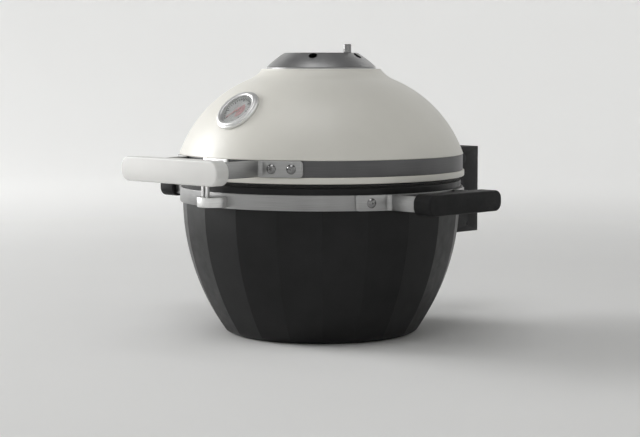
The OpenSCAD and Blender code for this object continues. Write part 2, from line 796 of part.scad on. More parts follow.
// Upright half-section of the lid
module lid_outline() {
  difference() {
    union() {
      intersection() {
        translate(dome_c) circle(dome_curve_r, $fn = 360);
        translate([0, dome_z]) square([2 * rim_r, flange_z - dome_z]);
      }
      translate([0, lid_z]) square([rim_r + lip_out, lip_h]);
      translate([0, lid_z]) square([rim_r, dome_z - lid_z + over]);
      polygon([
        [0, dome_z], neck_end, flange_edge, flange_edge + [-flange_edge_w, flange_edge_h], [0, flange_z]
      ]);
    }
    translate(neck_c) circle(neck_fillet_r, $fn = 180);
    intersection() {
      translate(dome_c) circle(lid_inner_r, $fn = 360);
      translate([0, dome_z]) square([rim_r, dome_curve_r]);
    }
    translate([0, lid_z - 1]) square([dome_c[0] + sqrt(pow(lid_inner_r, 2) - pow(dome_z - dome_c[1], 2)),
      dome_z - lid_z + 1.5]);
    translate([0, dome_z]) square([chimney_r, flange_z]);
  }
}

// Places a piece on the thermometer's seat, with its own Z straight out of the dome
module on_seat() {
  translate([0, -seat_pos[0], seat_pos[1]]) rotate([90 - dial_angle, 0, 0]) children();
}

module lid_dome() {
  color("#e6e2d6") difference() {
    rotate_extrude($fn = 180) lid_outline();
    on_seat() cylinder(r = case_r + seat_rim_gap, h = seat_cut_h);
    on_seat() translate([0, 0, -3 * wall]) cylinder(r = stud_hole_r, h = 4 * wall);
  }
}

module lid_band() {
  color("#8d8f91") difference() {
    translate([0, 0, lid_band_z + seat_gap]) tube(band_in_r, band_out_r, lid_band_h - 2 * seat_gap);
    for (s = [-1, 1], a = front_bolt_angles) bolt_hole(s * a, lid_mid_z);
    for (s = [-1, 1]) bolt_hole(s * along_band(catch_bolt_x), lid_mid_z);
    for (s = [-1, 1]) bolt_hole(180 + s * along_band(hinge_bolt_x), lid_mid_z);
  }
}

module lid_gasket() {
  color("#1a1a1a") translate([0, 0, lid_z - gasket_t]) felt_ring();
}

module front_grip() {
  color("#eceae5") difference() {
    grip(front_grip_y, front_grip_l, front_grip_h, front_grip_d, front_grip_round, front_grip_z);
    grip_screw_holes(front_arm_x, front_back_y, lid_mid_z);
  }
}

module front_bracket(side) {
  color("#b4b6b8") mirror([side < 0 ? 1 : 0, 0, 0]) translate([0, 0, lid_band_z])
    bracket(front_arm_x, front_back_y, front_plate_l, lid_band_h, front_bolt_angles, lid_band_h / 2);
}

module front_bolts() {
  color("#c8cacc") for (s = [-1, 1], a = front_bolt_angles) bolt(s * a, lid_mid_z, strap_out_r);
}

module front_grip_screws() {
  color("#c8cacc") grip_screw_set(front_arm_x, front_back_y, lid_mid_z);
}

module catch_tongue() {
  prong_w = tongue_w / 3;
  plate_a = along_band(catch_plate_half);
  color("#c3c5c7") difference() {
    union() {
      translate([0, 0, lid_band_z]) linear_extrude(lid_band_h)
        sector(band_out_r, strap_out_r, -plate_a, plate_a);
      translate([-tongue_w / 2, -tongue_r, lid_band_z])
        cube([tongue_w, tongue_r - band_out_r - strap_t / 2, tongue_t]);
      for (s = [-1, 1]) translate([s * prong_w - prong_w / 2, -tongue_r, tongue_tip_z])
        cube([prong_w, tongue_t, lid_band_z - tongue_tip_z + tongue_t]);
    }
    for (s = [-1, 1]) bolt_hole(s * along_band(catch_bolt_x), lid_mid_z);
  }
}

module catch_bolts() {
  color("#c8cacc") for (s = [-1, 1]) bolt(s * along_band(catch_bolt_x), lid_mid_z, strap_out_r);
}

// One of the lid arm's two side plates, seen from the side
module arm_outline() {
  front_y = sqrt(pow(band_out_r, 2) - pow(arm_out, 2)) + arm_end_gap;
  difference() {
    union() {
      translate([pin_y, pin_z]) circle(eye_r);
      polygon([
        [front_y, lid_band_z + arm_low], [pin_y - eye_r * sin(arm_meet), pin_z - eye_r * cos(arm_meet)],
        [pin_y, pin_z + eye_r], [front_y, lid_band_z + lid_band_h - arm_high]
      ]);
      translate([pin_y, pin_z]) rotate(tail_angle) translate([0, -tail_eye_r])
        square([tail_l, 2 * tail_eye_r]);
      translate([tail_y, tail_z]) circle(tail_eye_r);
    }
    translate([pin_y, pin_z]) circle(pin_r + run_gap);
    translate([tail_y, tail_z]) circle(spring_pin_r + run_gap);
  }
}

module lid_hinge_arm() {
  color("#1b1b1c") difference() {
    union() {
      both_sides() translate([arm_out - hinge_t, 0, 0]) rotate([90, 0, 90]) linear_extrude(hinge_t)
        arm_outline();
      translate([0, 0, lid_band_z]) linear_extrude(lid_band_h) intersection() {
        difference() {
          circle(strap_out_r);
          circle(band_out_r);
        }
        translate([-arm_out, 0]) square([2 * arm_out, 2 * rim_r]);
      }
    }
    translate([0, 0, lid_band_z - over]) cylinder(r = band_out_r, h = lid_band_h + 2 * over);
    for (s = [-1, 1]) bolt_hole(180 + s * along_band(hinge_bolt_x), lid_mid_z);
  }
}

module lid_arm_bolts() {
  color("#c8cacc") for (s = [-1, 1]) bolt(180 + s * along_band(hinge_bolt_x), lid_mid_z, strap_out_r);
}

module spring_lever_pin() {
  color("#1f1f20") translate([-arm_out, tail_y, tail_z]) rotate([0, 90, 0])
    cylinder(r = spring_pin_r, h = 2 * arm_out);
}

module thermometer_case() {
  edge = 0.6;
  wall_r = dial_r + seat_gap;
  color("#d5d7d9") on_seat() difference() {
    rotate_extrude() polygon([
      [0, 0], [case_r, 0], [case_r, skirt_h - edge], [case_r - edge, skirt_h], [bezel_r, skirt_h],
      [bezel_r, case_h - edge], [bezel_r - edge, case_h], [wall_r + glass_drop, case_h],
      [wall_r, case_h - glass_drop], [wall_r, dial_floor], [0, dial_floor]
    ]);
    translate([0, 0, -over]) cylinder(r = probe_r + run_gap, h = case_h);
  }
}

module thermometer_dial() {
  color("#c2c3c4") on_seat() {
    translate([0, 0, dial_floor]) cylinder(r = dial_r, h = dial_t);
    translate([0, 0, dial_floor]) cylinder(r = post_r, h = needle_z + needle_t + post_above - dial_floor);
  }
}

module thermometer_needle() {
  color("#b5322b") on_seat() translate([0, 0, needle_z]) difference() {
    linear_extrude(needle_t) {
      circle(needle_hub_r);
      rotate(needle_rest) polygon([
        [-needle_tail, -needle_tail_w / 2], [needle_l, -needle_tip_w / 2],
        [needle_l, needle_tip_w / 2], [-needle_tail, needle_tail_w / 2]
      ]);
    }
    translate([0, 0, -over]) cylinder(r = post_r + run_gap, h = needle_t + 2 * over);
  }
}

module thermometer_glass() {
  color("#dfe8ea", 0.35) on_seat() translate([0, 0, case_h - glass_t - glass_drop])
    cylinder(r = dial_r, h = glass_t);
}

module thermometer_probe() {
  stud_end = nut_top - nut_t - stud_past_nut;
  color("#b9bbbd") on_seat() rotate_extrude() polygon([
    [0, -probe_l], [probe_r, -probe_l], [probe_r, stud_end], [stud_r, stud_end],
    [stud_r, -seat_gap], [probe_r, -seat_gap], [probe_r, dial_floor - seat_gap], [0, dial_floor - seat_gap]
  ]);
}

module thermometer_nut() {
  color("#b9bbbd") on_seat() translate([0, 0, nut_top - nut_t]) difference() {
    cylinder(r = nut_r, h = nut_t, $fn = 6);
    translate([0, 0, -over]) cylinder(r = stud_r + run_gap, h = nut_t + 2 * over);
  }
}

// Upright half-section of the vent's shape, drawn in from the cap's outer face and down to low
module cap_outline(inset, low) {
  intersection() {
    translate(cap_c) circle(cap_curve_r - inset, $fn = 180);
    translate([0, low]) square([cap_r, cap_h - inset - low]);
  }
  translate([0, low]) square([cap_top_r - inset, cap_h - inset - low]);
}

module vent_hole_set() {
  for (i = [0 : vent_holes - 1]) around(vent_phase + i * 360 / vent_holes)
    translate([0, -vent_hole_at[0], cap_z + vent_hole_at[1]]) rotate([90 - vent_lean, 0, 0])
      cylinder(r = vent_hole_r, h = vent_hole_l, center = true);
}

module vent_base() {
  inner = vent_t + vent_gap;
  foot = flange_z - cap_z;
  spigot_r = chimney_r - spigot_gap;
  color("#6d6f71") difference() {
    translate([0, 0, cap_z]) rotate_extrude($fn = 180) {
      difference() {
        cap_outline(inner, foot);
        cap_outline(inner + vent_t, foot - over);
      }
      translate([spigot_r - spigot_t, foot])
        square([cap_r - base_plate_inset - spigot_r + spigot_t, base_plate_t]);
      translate([spigot_r - spigot_t, foot - spigot_h]) square([spigot_t, spigot_h + base_plate_t / 2]);
    }
    vent_hole_set();
    translate([0, 0, cap_z]) cylinder(r = vent_screw_r + run_gap, h = cap_h);
  }
}

module vent_screw() {
  head_r = vent_screw_r + vent_screw_head_h;
  neck_z = -vent_screw_sink - vent_screw_head_h;
  color("#c8cacc") translate([0, 0, cap_top]) difference() {
    rotate_extrude() polygon([
      [0, -vent_screw_l], [vent_screw_r, -vent_screw_l], [vent_screw_r, neck_z],
      [head_r, -vent_screw_sink], [0, -vent_screw_sink]
    ]);
    translate([-head_r - over, -vent_slot_w / 2, -vent_screw_sink - vent_slot_depth])
      cube([2 * head_r + 2 * over, vent_slot_w, vent_slot_depth + over]);
  }
}

module vent_nut() {
  nut_z = cap_top - 2 * vent_t - vent_gap - vent_nut_gap - vent_nut_h;
  color("#b9bbbd") translate([0, 0, nut_z]) difference() {
    cylinder(r = vent_nut_r, h = vent_nut_h, $fn = 6);
    translate([0, 0, -over]) cylinder(r = vent_screw_r + run_gap, h = vent_nut_h + 2 * over);
  }
}

module vent_cap() {
  sink_r = vent_screw_r + sink_gap;
  sink_z = sink_land - vent_t;
  color("#7b7d7f") difference() {
    translate([0, 0, cap_z]) rotate_extrude($fn = 180) difference() {
      cap_outline(0, 0);
      cap_outline(vent_t, -over);
    }
    vent_hole_set();
    translate([0, 0, cap_top]) rotate_extrude() polygon([
      [0, -2 * vent_t], [sink_r, -2 * vent_t], [sink_r, sink_z], [sink_r + over - sink_z, over], [0, over]
    ]);
    around(knob_angle) translate([0, -knob_at_r, cap_z])
      cylinder(r = knob_pin_r + run_gap, h = cap_h + over);
  }
}

module vent_knob() {
  color("#c8cacc") around(knob_angle) translate([0, -knob_at_r, cap_top]) rotate_extrude() polygon([
    [0, -vent_t], [knob_pin_r, -vent_t], [knob_pin_r, 0], [knob_r, 0],
    [knob_r, knob_h - knob_chamfer], [knob_r - knob_chamfer, knob_h], [0, knob_h]
  ]);
}

base_bowl();
base_band();
base_gasket();
side_grip(1);  // side_grip_right
side_grip(-1);  // side_grip_left
side_bracket(1, -1);  // side_bracket_right_front
side_bracket(1, 1);  // side_bracket_right_rear
side_bracket(-1, 1);  // side_bracket_left_front
side_bracket(-1, -1);  // side_bracket_left_rear
side_bolts();
side_grip_screws();
catch_keeper();
hinge_housing();
housing_bolts();
hinge_pin();
hinge_pin_clip();
hinge_spring();
spring_anchor_pin();
fire_grate();
fire_ring();
heat_deflector();
cooking_grate();
lid_dome();
lid_band();
lid_gasket();
front_grip();
front_bracket(1);  // front_bracket_right
front_bracket(-1);  // front_bracket_left
front_bolts();
front_grip_screws();
catch_tongue();
catch_bolts();
lid_hinge_arm();
lid_arm_bolts();
spring_lever_pin();
thermometer_case();
thermometer_dial();
thermometer_glass();
thermometer_probe();
thermometer_nut();
thermometer_needle();
vent_base();
vent_screw();
vent_nut();
vent_cap();
vent_knob();
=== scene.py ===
import json
import math

import bmesh
import bpy
from mathutils import Matrix, Vector


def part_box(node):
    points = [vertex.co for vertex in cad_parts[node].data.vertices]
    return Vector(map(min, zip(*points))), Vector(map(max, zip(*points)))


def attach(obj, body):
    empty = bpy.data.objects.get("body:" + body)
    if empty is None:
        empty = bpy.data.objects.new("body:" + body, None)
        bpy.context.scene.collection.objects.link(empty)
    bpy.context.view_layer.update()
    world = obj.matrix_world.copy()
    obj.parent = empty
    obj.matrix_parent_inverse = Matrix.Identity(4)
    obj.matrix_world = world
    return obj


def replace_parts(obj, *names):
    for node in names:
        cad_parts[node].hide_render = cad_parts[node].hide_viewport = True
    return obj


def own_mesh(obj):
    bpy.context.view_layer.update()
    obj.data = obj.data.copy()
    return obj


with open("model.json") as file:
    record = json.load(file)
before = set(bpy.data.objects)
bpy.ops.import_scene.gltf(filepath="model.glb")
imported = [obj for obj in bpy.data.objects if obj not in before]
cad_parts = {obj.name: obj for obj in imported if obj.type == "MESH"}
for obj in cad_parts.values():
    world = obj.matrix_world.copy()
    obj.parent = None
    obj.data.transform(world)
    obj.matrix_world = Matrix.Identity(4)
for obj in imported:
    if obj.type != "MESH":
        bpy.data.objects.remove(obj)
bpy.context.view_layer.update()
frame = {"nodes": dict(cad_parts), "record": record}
nodes = frame["nodes"]
record = frame["record"]
bodyOf = {node: body for body, names in record["behaviour"]["bodies"].items() for node in names}
slotOf = {part["node"]: part["material_slot"] for part in record["subparts"]}
scene = bpy.context.scene
print("frame loaded,", len(nodes), "nodes")

# Camera: where the picture was taken from, turned from the front towards the right grip
view = {"turn": 44.5, "distance": 1.805, "height": 0.2846, "tilt": 5.226, "pan": 0.044, "lens": 95.6,
        "sensor": 36, "farEnd": 50}


def addCamera():
    data = bpy.data.cameras.new("viewCamera")
    data.lens = view["lens"]
    data.sensor_width = view["sensor"]
    data.clip_end = view["farEnd"]
    cam = bpy.data.objects.new("viewCamera", data)
    turn = math.radians(view["turn"])
    cam.location = (view["distance"] * math.sin(turn), -view["distance"] * math.cos(turn), view["height"])
    cam.rotation_euler = (math.radians(90 - view["tilt"]), 0, turn + math.radians(view["pan"]))
    scene.collection.objects.link(cam)
    scene.camera = cam


addCamera()

# Finishes: noise on Object coordinates drives colour, roughness and bump
noiseLow, noiseHigh = 0.3, 0.7  # most of a noise lies between these


class Shader:
    def __init__(self, name, base=(0.8, 0.8, 0.8), rough=0.5, metal=0.0):
        self.mat = bpy.data.materials.new(name)
        self.mat.use_nodes = True
        self.tree = self.mat.node_tree
        self.links = self.tree.links
        self.bsdf = self.tree.nodes["Principled BSDF"]
        self.base = base
        self.set({"Base Color": (*base, 1), "Roughness": rough, "Metallic": metal})
        self.coords = self.tree.nodes.new("ShaderNodeTexCoord").outputs["Object"]
        self.bumpOut = None

    def set(self, values):
        for socket, value in values.items():
            self.bsdf.inputs[socket].default_value = value

    def stretched(self, scale):
        node = self.tree.nodes.new("ShaderNodeMapping")
        node.inputs["Scale"].default_value = scale
        self.links.new(self.coords, node.inputs["Vector"])
        return node.outputs["Vector"]

    def axes(self):
        split = self.tree.nodes.new("ShaderNodeSeparateXYZ")
        self.links.new(self.coords, split.inputs[0])
        return split.outputs

    # brushed lines: slow round the upright axis, fast up it
    def aroundAxis(self, alongTurns, upScale):
        axis = self.axes()
        angle = self.math("ARCTAN2", axis["Y"], axis["X"])
        join = self.tree.nodes.new("ShaderNodeCombineXYZ")
        self.links.new(self.math("MULTIPLY", angle, alongTurns), join.inputs["X"])
        self.links.new(self.math("MULTIPLY", axis["Z"], upScale), join.inputs["Y"])
        return join.outputs[0]

    def math(self, kind, *values):
        node = self.tree.nodes.new("ShaderNodeMath")
        node.operation = kind
        for socket, value in zip(node.inputs, values):
            if isinstance(value, (int, float)):
                socket.default_value = value
            else:
                self.links.new(value, socket)
        return node.outputs[0]

    def noise(self, vector, scale, detail=4, rough=0.55):
        node = self.tree.nodes.new("ShaderNodeTexNoise")
        node.inputs["Scale"].default_value = scale
        node.inputs["Detail"].default_value = detail
        node.inputs["Roughness"].default_value = rough
        self.links.new(vector, node.inputs["Vector"])
        return node.outputs["Fac"]

    def cells(self, vector, scale):
        node = self.tree.nodes.new("ShaderNodeTexVoronoi")
        node.inputs["Scale"].default_value = scale
        self.links.new(vector, node.inputs["Vector"])
        return node.outputs["Distance"]

    def mapped(self, fac, fromRange, toRange, kind="LINEAR"):
        node = self.tree.nodes.new("ShaderNodeMapRange")
        node.interpolation_type = kind
        node.inputs["From Min"].default_value, node.inputs["From Max"].default_value = fromRange
        node.inputs["To Min"].default_value, node.inputs["To Max"].default_value = toRange
        self.links.new(fac, node.inputs["Value"])
        return node.outputs["Result"]

    # colour from (place on the noise, colour) stops
    def colour(self, fac, stops):
        node = self.tree.nodes.new("ShaderNodeValToRGB")
        marks = node.color_ramp.elements
        while len(marks) < len(stops):
            marks.new(0.5)
        for mark, (at, color) in zip(marks, stops):
            mark.position = at
            mark.color = (*color, 1)
        self.links.new(fac, node.inputs["Fac"])
        self.links.new(node.outputs["Color"], self.bsdf.inputs["Base Color"])

    # the base colour, darker and lighter by a share of itself
    def mottle(self, fac, share, stops=(noiseLow, 0.5, noiseHigh)):
        tones = [tuple(c * (1 + s) for c in self.base) for s in (-share, 0, share)]
        self.colour(fac, list(zip(stops, tones)))

    def between(self, fac, low, high):
        self.colour(fac, [(noiseLow, low), (noiseHigh, high)])

    def roughness(self, fac, low, high):
        worn = self.mapped(fac, (noiseLow, noiseHigh), (low, high))
        self.links.new(worn, self.bsdf.inputs["Roughness"])

    def bump(self, height, depth, strength):
        node = self.tree.nodes.new("ShaderNodeBump")
        node.inputs["Distance"].default_value = depth
        node.inputs["Strength"].default_value = strength
        self.links.new(height, node.inputs["Height"])
        if self.bumpOut:
            self.links.new(self.bumpOut, node.inputs["Normal"])
        self.bumpOut = node.outputs["Normal"]
        self.links.new(self.bumpOut, self.bsdf.inputs["Normal"])


def ivoryGlaze():
    s = Shader("ivoryGlaze", (0.80, 0.785, 0.725))
    s.mottle(s.noise(s.coords, 9, 5), 0.035)
    s.roughness(s.noise(s.coords, 60, 3), 0.35, 0.43)
    s.bump(s.noise(s.coords, 38, 2), 0.0006, 0.25)
    s.bump(s.noise(s.coords, 160, 1), 0.0001, 0.2)
    s.set({"Coat Weight": 0.15, "Coat Roughness": 0.38, "IOR": 1.5})
    return s.mat


def charcoalGlaze():
    s = Shader("charcoalGlaze", (0.015, 0.015, 0.0155))
    s.mottle(s.noise(s.coords, 26, 6), 0.2, (0.3, 0.5, 0.72))
    s.roughness(s.noise(s.coords, 90, 4), 0.32, 0.44)
    s.bump(s.noise(s.coords, 900, 3), 0.00006, 0.5)
    s.bump(s.noise(s.coords, 45, 2), 0.0004, 0.2)
    s.set({"Specular IOR Level": 0.2})
    return s.mat


def bandSteel(name, base):
    s = Shader(name, base, metal=1)
    lines = s.noise(s.aroundAxis(3, 5200), 1, 3, 0.6)
    broad = s.noise(s.stretched((16, 16, 3)), 1, 2)
    s.mottle(s.math("MULTIPLY", s.math("ADD", lines, broad), 0.5), 0.3, (0.35, 0.5, 0.65))
    s.roughness(lines, 0.285, 0.4)
    s.bump(lines, 0.00003, 0.5)
    s.set({"Anisotropic": 0.6})
    return s.mat


def bracketSteel(name, base):
    s = Shader(name, base, metal=1)
    lines = s.noise(s.stretched((40, 40, 4200)), 1, 3, 0.6)
    s.mottle(lines, 0.2, (0.25, 0.5, 0.75))
    s.roughness(lines, 0.285, 0.42)
    s.bump(lines, 0.00003, 0.45)
    s.set({"Anisotropic": 0.4})
    return s.mat


def boltSteel():
    s = Shader("boltSteel", metal=1)
    scuffs = s.noise(s.coords, 700, 5)
    s.between(scuffs, (0.2, 0.2, 0.203), (0.3, 0.3, 0.297))
    s.roughness(scuffs, 0.17, 0.25)
    s.bump(s.noise(s.coords, 2600, 2), 0.00002, 0.4)
    return s.mat


def whiteGrip():
    s = Shader("whiteGrip", (0.79, 0.785, 0.765))
    s.mottle(s.noise(s.coords, 30, 4), 0.02)
    s.roughness(s.noise(s.coords, 160, 3), 0.33, 0.45)
    s.bump(s.noise(s.coords, 1800, 2), 0.00004, 0.5)
    s.set({"Coat Weight": 0.1, "Coat Roughness": 0.3})
    return s.mat


def blackGrip():
    s = Shader("blackGrip")
    s.between(s.noise(s.coords, 60, 4), (0.007, 0.007, 0.0075), (0.012, 0.012, 0.0125))
    s.roughness(s.noise(s.coords, 240, 3), 0.42, 0.58)
    s.bump(s.cells(s.coords, 1500), 0.00008, 0.45)
    s.set({"Specular IOR Level": 0.2})
    return s.mat


def hingeBlack():
    s = Shader("hingeBlack")
    s.between(s.noise(s.coords, 50, 4), (0.009, 0.009, 0.0095), (0.016, 0.016, 0.0165))
    s.roughness(s.noise(s.coords, 320, 3), 0.38, 0.52)
    s.bump(s.noise(s.coords, 2200, 3), 0.00008, 0.6)
    s.set({"Specular IOR Level": 0.3})
    return s.mat


def feltBlack():
    s = Shader("feltBlack", rough=0.95)
    fibres = s.noise(s.stretched((900, 900, 2600)), 1, 6, 0.7)
    s.colour(fibres, [(0.3, (0.008, 0.008, 0.008)), (0.75, (0.045, 0.044, 0.043))])
    s.bump(fibres, 0.0004, 0.8)
    s.set({"Sheen Weight": 0.35, "Sheen Roughness": 0.5})
    return s.mat


def fireClay():
    s = Shader("fireClay", rough=0.9)
    grains = s.noise(s.coords, 300, 7, 0.65)
    s.colour(grains, [(0.28, (0.33, 0.27, 0.2)), (0.5, (0.5, 0.42, 0.33)), (0.74, (0.61, 0.54, 0.44))])
    s.bump(grains, 0.0003, 0.7)
    return s.mat


def castIron():
    s = Shader("castIron", metal=0.6)
    grains = s.noise(s.coords, 420, 6, 0.6)
    s.between(grains, (0.022, 0.022, 0.023), (0.06, 0.058, 0.056))
    s.roughness(grains, 0.6, 0.85)
    s.bump(grains, 0.0003, 0.7)
    return s.mat


def wireSteel(name, base, rough):
    s = Shader(name, base, metal=1)
    drawn = s.noise(s.coords, 900, 4)
    s.mottle(drawn, 0.16)
    s.roughness(drawn, rough - 0.06, rough + 0.1)
    s.bump(s.noise(s.coords, 2400, 2), 0.00003, 0.5)
    return s.mat


def dialChrome():
    s = Shader("dialChrome", metal=1)
    haze = s.noise(s.coords, 260, 4)
    s.between(haze, (0.82, 0.82, 0.82), (0.9, 0.9, 0.895))
    s.roughness(haze, 0.285, 0.37)
    s.bump(s.noise(s.coords, 1500, 2), 0.00001, 0.4)
    return s.mat


def dialFace():
    s = Shader("dialFace")
    grain = s.noise(s.coords, 800, 4)
    s.between(grain, (0.63, 0.625, 0.615), (0.77, 0.765, 0.755))
    s.roughness(grain, 0.45, 0.6)
    s.bump(s.noise(s.coords, 3000, 2), 0.00001, 0.3)
    return s.mat


def dialPaint(name, base):
    s = Shader(name, base)
    s.mottle(s.noise(s.coords, 1400, 3), 0.12)
    s.roughness(s.noise(s.coords, 900, 2), 0.36, 0.5)
    return s.mat


def dialGlass():
    s = Shader("dialGlass", (0.97, 0.98, 0.98))
    s.roughness(s.noise(s.coords, 300, 3), 0.015, 0.06)
    s.set({"Transmission Weight": 1.0, "IOR": 1.45})
    return s.mat


def ventMetal():
    s = Shader("ventMetal", metal=1)
    lines = s.noise(s.aroundAxis(4, 2600), 1, 4, 0.6)
    s.between(s.noise(s.coords, 70, 4), (0.38, 0.38, 0.385), (0.44, 0.44, 0.44))
    s.roughness(lines, 0.285, 0.38)
    s.bump(lines, 0.00003, 0.4)
    s.set({"Anisotropic": 0.3})
    return s.mat


finish = {
    "ivory_glaze": ivoryGlaze(),
    "charcoal_glaze": charcoalGlaze(),
    "band_steel": bandSteel("bandSteel", (0.3, 0.3, 0.3)),
    "bracket_steel": bracketSteel("bracketSteel", (0.37, 0.37, 0.37)),
    "bolt_steel": boltSteel(),
    "white_grip": whiteGrip(),
    "black_grip": blackGrip(),
    "hinge_black": hingeBlack(),
    "felt": feltBlack(),
    "fire_ceramic": fireClay(),
    "iron": castIron(),
    "grate_steel": wireSteel("grateSteel", (0.6, 0.6, 0.6), 0.36),
    "pin_steel": wireSteel("pinSteel", (0.46, 0.46, 0.47), 0.34),
    "pin_black": wireSteel("pinBlack", (0.035, 0.035, 0.037), 0.42),
    "spring_steel": wireSteel("springSteel", (0.3, 0.3, 0.31), 0.36),
    "dial_chrome": dialChrome(),
    "dial_face": dialFace(),
    "needle_paint": dialPaint("needlePaint", (0.86, 0.5, 0.5)),
    "dial_glass": dialGlass(),
    "vent_metal": ventMetal(),
}
# the lid band's steel is the band steel made darker: painted shade, standing in for dark reflections
lidBandPaintedShadeSteel = bandSteel("lidBandPaintedShadeSteel", (0.11, 0.11, 0.112))
# the catch's steel is the bracket steel made much lighter: painted light, as if lit by a lamp from the left
catchPaintedLightSteel = bracketSteel("catchPaintedLightSteel", (0.78, 0.78, 0.775))
markPaint = dialPaint("markPaint", (0.05, 0.05, 0.05))
redPaint = dialPaint("redPaint", (0.72, 0.44, 0.45))
print("finishes made:", len(finish))

# Mesh helpers
meshing = {"same": 1e-7, "weld": 2e-6, "flatWithin": 0.004, "easeShare": 0.45}


def newObject(name, mesh):
    obj = bpy.data.objects.new(name, mesh)
    scene.collection.objects.link(obj)
    return obj


def objectFrom(name, bm):
    mesh = bpy.data.meshes.new(name)
    bm.to_mesh(mesh)
    bm.free()
    return newObject(name, mesh)


def openMesh(obj):
    bm = bmesh.new()
    bm.from_mesh(obj.data)
    return bm


def putBack(bm, obj):
    bm.to_mesh(obj.data)
    bm.free()
    return obj


def dropHelper(obj):
    bpy.data.objects.remove(obj)


# finish, smoothing, body and slot as the node has them
def settle(obj, node, mat=None, smooth=30):
    mesh = obj.data
    mesh.materials.clear()
    mesh.materials.append(mat or finish[slotOf[node]])
    for p in mesh.polygons:
        p.use_smooth = True
        p.material_index = 0
    mesh.set_sharp_from_angle(angle=math.radians(smooth))
    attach(obj, bodyOf[node])


def stand(obj, node, mat=None, smooth=30):
    settle(obj, node, mat, smooth)
    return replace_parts(obj, node)


def applyModifiers(obj):
    bpy.context.view_layer.update()
    evaluated = obj.evaluated_get(bpy.context.evaluated_depsgraph_get())
    mesh = bpy.data.meshes.new_from_object(evaluated)
    obj.modifiers.clear()
    obj.data = mesh
    return obj


def bevelled(obj, width, segments=2, angle=32):
    mod = obj.modifiers.new("edges", "BEVEL")
    mod.width = width
    mod.segments = segments
    mod.limit_method = "ANGLE"
    mod.angle_limit = math.radians(angle)
    return applyModifiers(obj)


# a bevel can leave pairs of faces folded onto each other
def withoutFolds(obj):
    bm = openMesh(obj)
    bmesh.ops.triangulate(bm, faces=[f for f in bm.faces if len(f.verts) > 4])
    bmesh.ops.remove_doubles(bm, verts=bm.verts, dist=meshing["same"])
    onCorners = {}
    for f in bm.faces:
        onCorners.setdefault(frozenset(v.index for v in f.verts), []).append(f)
    folds = [f for group in onCorners.values() if len(group) > 1 for f in group]
    bmesh.ops.delete(bm, geom=folds, context="FACES")
    return putBack(bm, obj)


def copyOf(node, bevel):
    obj = newObject(node + "_dressed", nodes[node].data.copy())
    bm = openMesh(obj)
    bmesh.ops.remove_doubles(bm, verts=bm.verts, dist=meshing["weld"])
    bmesh.ops.dissolve_limit(bm, angle_limit=meshing["flatWithin"], verts=bm.verts, edges=bm.edges)
    putBack(bm, obj)
    return withoutFolds(bevelled(obj, bevel)) if bevel else obj


def polar(r, a, z=0.0):
    return Vector((r * math.cos(a), r * math.sin(a), z))


def circle(r, z, count):
    return [polar(r, 2 * math.pi * i / count, z) for i in range(count)]


def ringMesh(name, rings, wrap=True):
    bm = bmesh.new()
    rows = [[bm.verts.new(p) for p in ring] for ring in rings]
    pairs = list(zip(rows, rows[1:])) + ([(rows[-1], rows[0])] if wrap else [])
    for low, high in pairs:
        for i in range(len(low)):
            j = (i + 1) % len(low)
            bm.faces.new((low[i], low[j], high[j], high[i]))
    bmesh.ops.remove_doubles(bm, verts=bm.verts, dist=meshing["same"])  # a ring of no width becomes a pole
    bmesh.ops.delete(bm, geom=[e for e in bm.edges if not e.link_faces], context="EDGES")
    bmesh.ops.recalc_face_normals(bm, faces=bm.faces)
    return objectFrom(name, bm)


# a run of rings with a face across each end
def closedRun(name, rings):
    obj = ringMesh(name, rings, wrap=False)
    bm = openMesh(obj)
    ends = [e for e in bm.edges if e.is_boundary]
    bmesh.ops.holes_fill(bm, edges=ends, sides=len(rings[0]) + 1)
    bmesh.ops.recalc_face_normals(bm, faces=bm.faces)
    return putBack(bm, obj)


# an outline of (radius, height) points turned round the upright axis, then put in its place
def turned(name, outline, sides=240, place=None):
    rings = [circle(r, z, sides) for r, z in outline]
    if place:
        rings = [[place @ p for p in ring] for ring in rings]
    return ringMesh(name, rings)


def arc(cx, cz, r, start, end, steps):
    angles = [math.radians(start + (end - start) * i / steps) for i in range(steps + 1)]
    return [(cx + r * math.cos(a), cz + r * math.sin(a)) for a in angles]


def angleTo(centre, point):
    return math.degrees(math.atan2(point.y - centre.y, point.x - centre.x))


# the outline with the numbered corners rounded by the sizes given for them
def eased(outline, sizes, steps=4):
    out = []
    for i, p in enumerate(outline):
        if i not in sizes:
            out.append(p)
            continue
        here = Vector(p)
        back = Vector(outline[i - 1]) - here
        ahead = Vector(outline[(i + 1) % len(outline)]) - here
        size = min(sizes[i], back.length * meshing["easeShare"], ahead.length * meshing["easeShare"])
        a, b = here + back.normalized() * size, here + ahead.normalized() * size
        for k in range(steps + 1):
            t = k / steps
            q = a * (1 - t) ** 2 + here * 2 * t * (1 - t) + b * t * t
            out.append((q.x, q.y))
    return out


# Geometry Nodes: each tree takes its sizes and finish as named inputs
def nodeGroup(name, inputs):
    tree = bpy.data.node_groups.new(name, "GeometryNodeTree")
    tree.interface.new_socket("Geometry", in_out="INPUT", socket_type="NodeSocketGeometry")
    for label, kind in [*inputs, ("Finish", "NodeSocketMaterial")]:
        tree.interface.new_socket(label, in_out="INPUT", socket_type=kind)
    tree.interface.new_socket("Geometry", in_out="OUTPUT", socket_type="NodeSocketGeometry")
    return tree, tree.nodes.new("NodeGroupInput").outputs


# every tree ends in real, painted geometry
def endTree(tree, source, geometry):
    link = tree.links.new
    real = tree.nodes.new("GeometryNodeRealizeInstances")
    paint = tree.nodes.new("GeometryNodeSetMaterial")
    sink = tree.nodes.new("NodeGroupOutput")
    link(geometry, real.inputs["Geometry"])
    link(real.outputs["Geometry"], paint.inputs["Geometry"])
    link(source["Finish"], paint.inputs["Material"])
    link(paint.outputs["Geometry"], sink.inputs["Geometry"])
    return tree


def vectorAttribute(tree, name):
    node = tree.nodes.new("GeometryNodeInputNamedAttribute")
    node.data_type = "FLOAT_VECTOR"
    node.inputs["Name"].default_value = name
    return node.outputs["Attribute"]


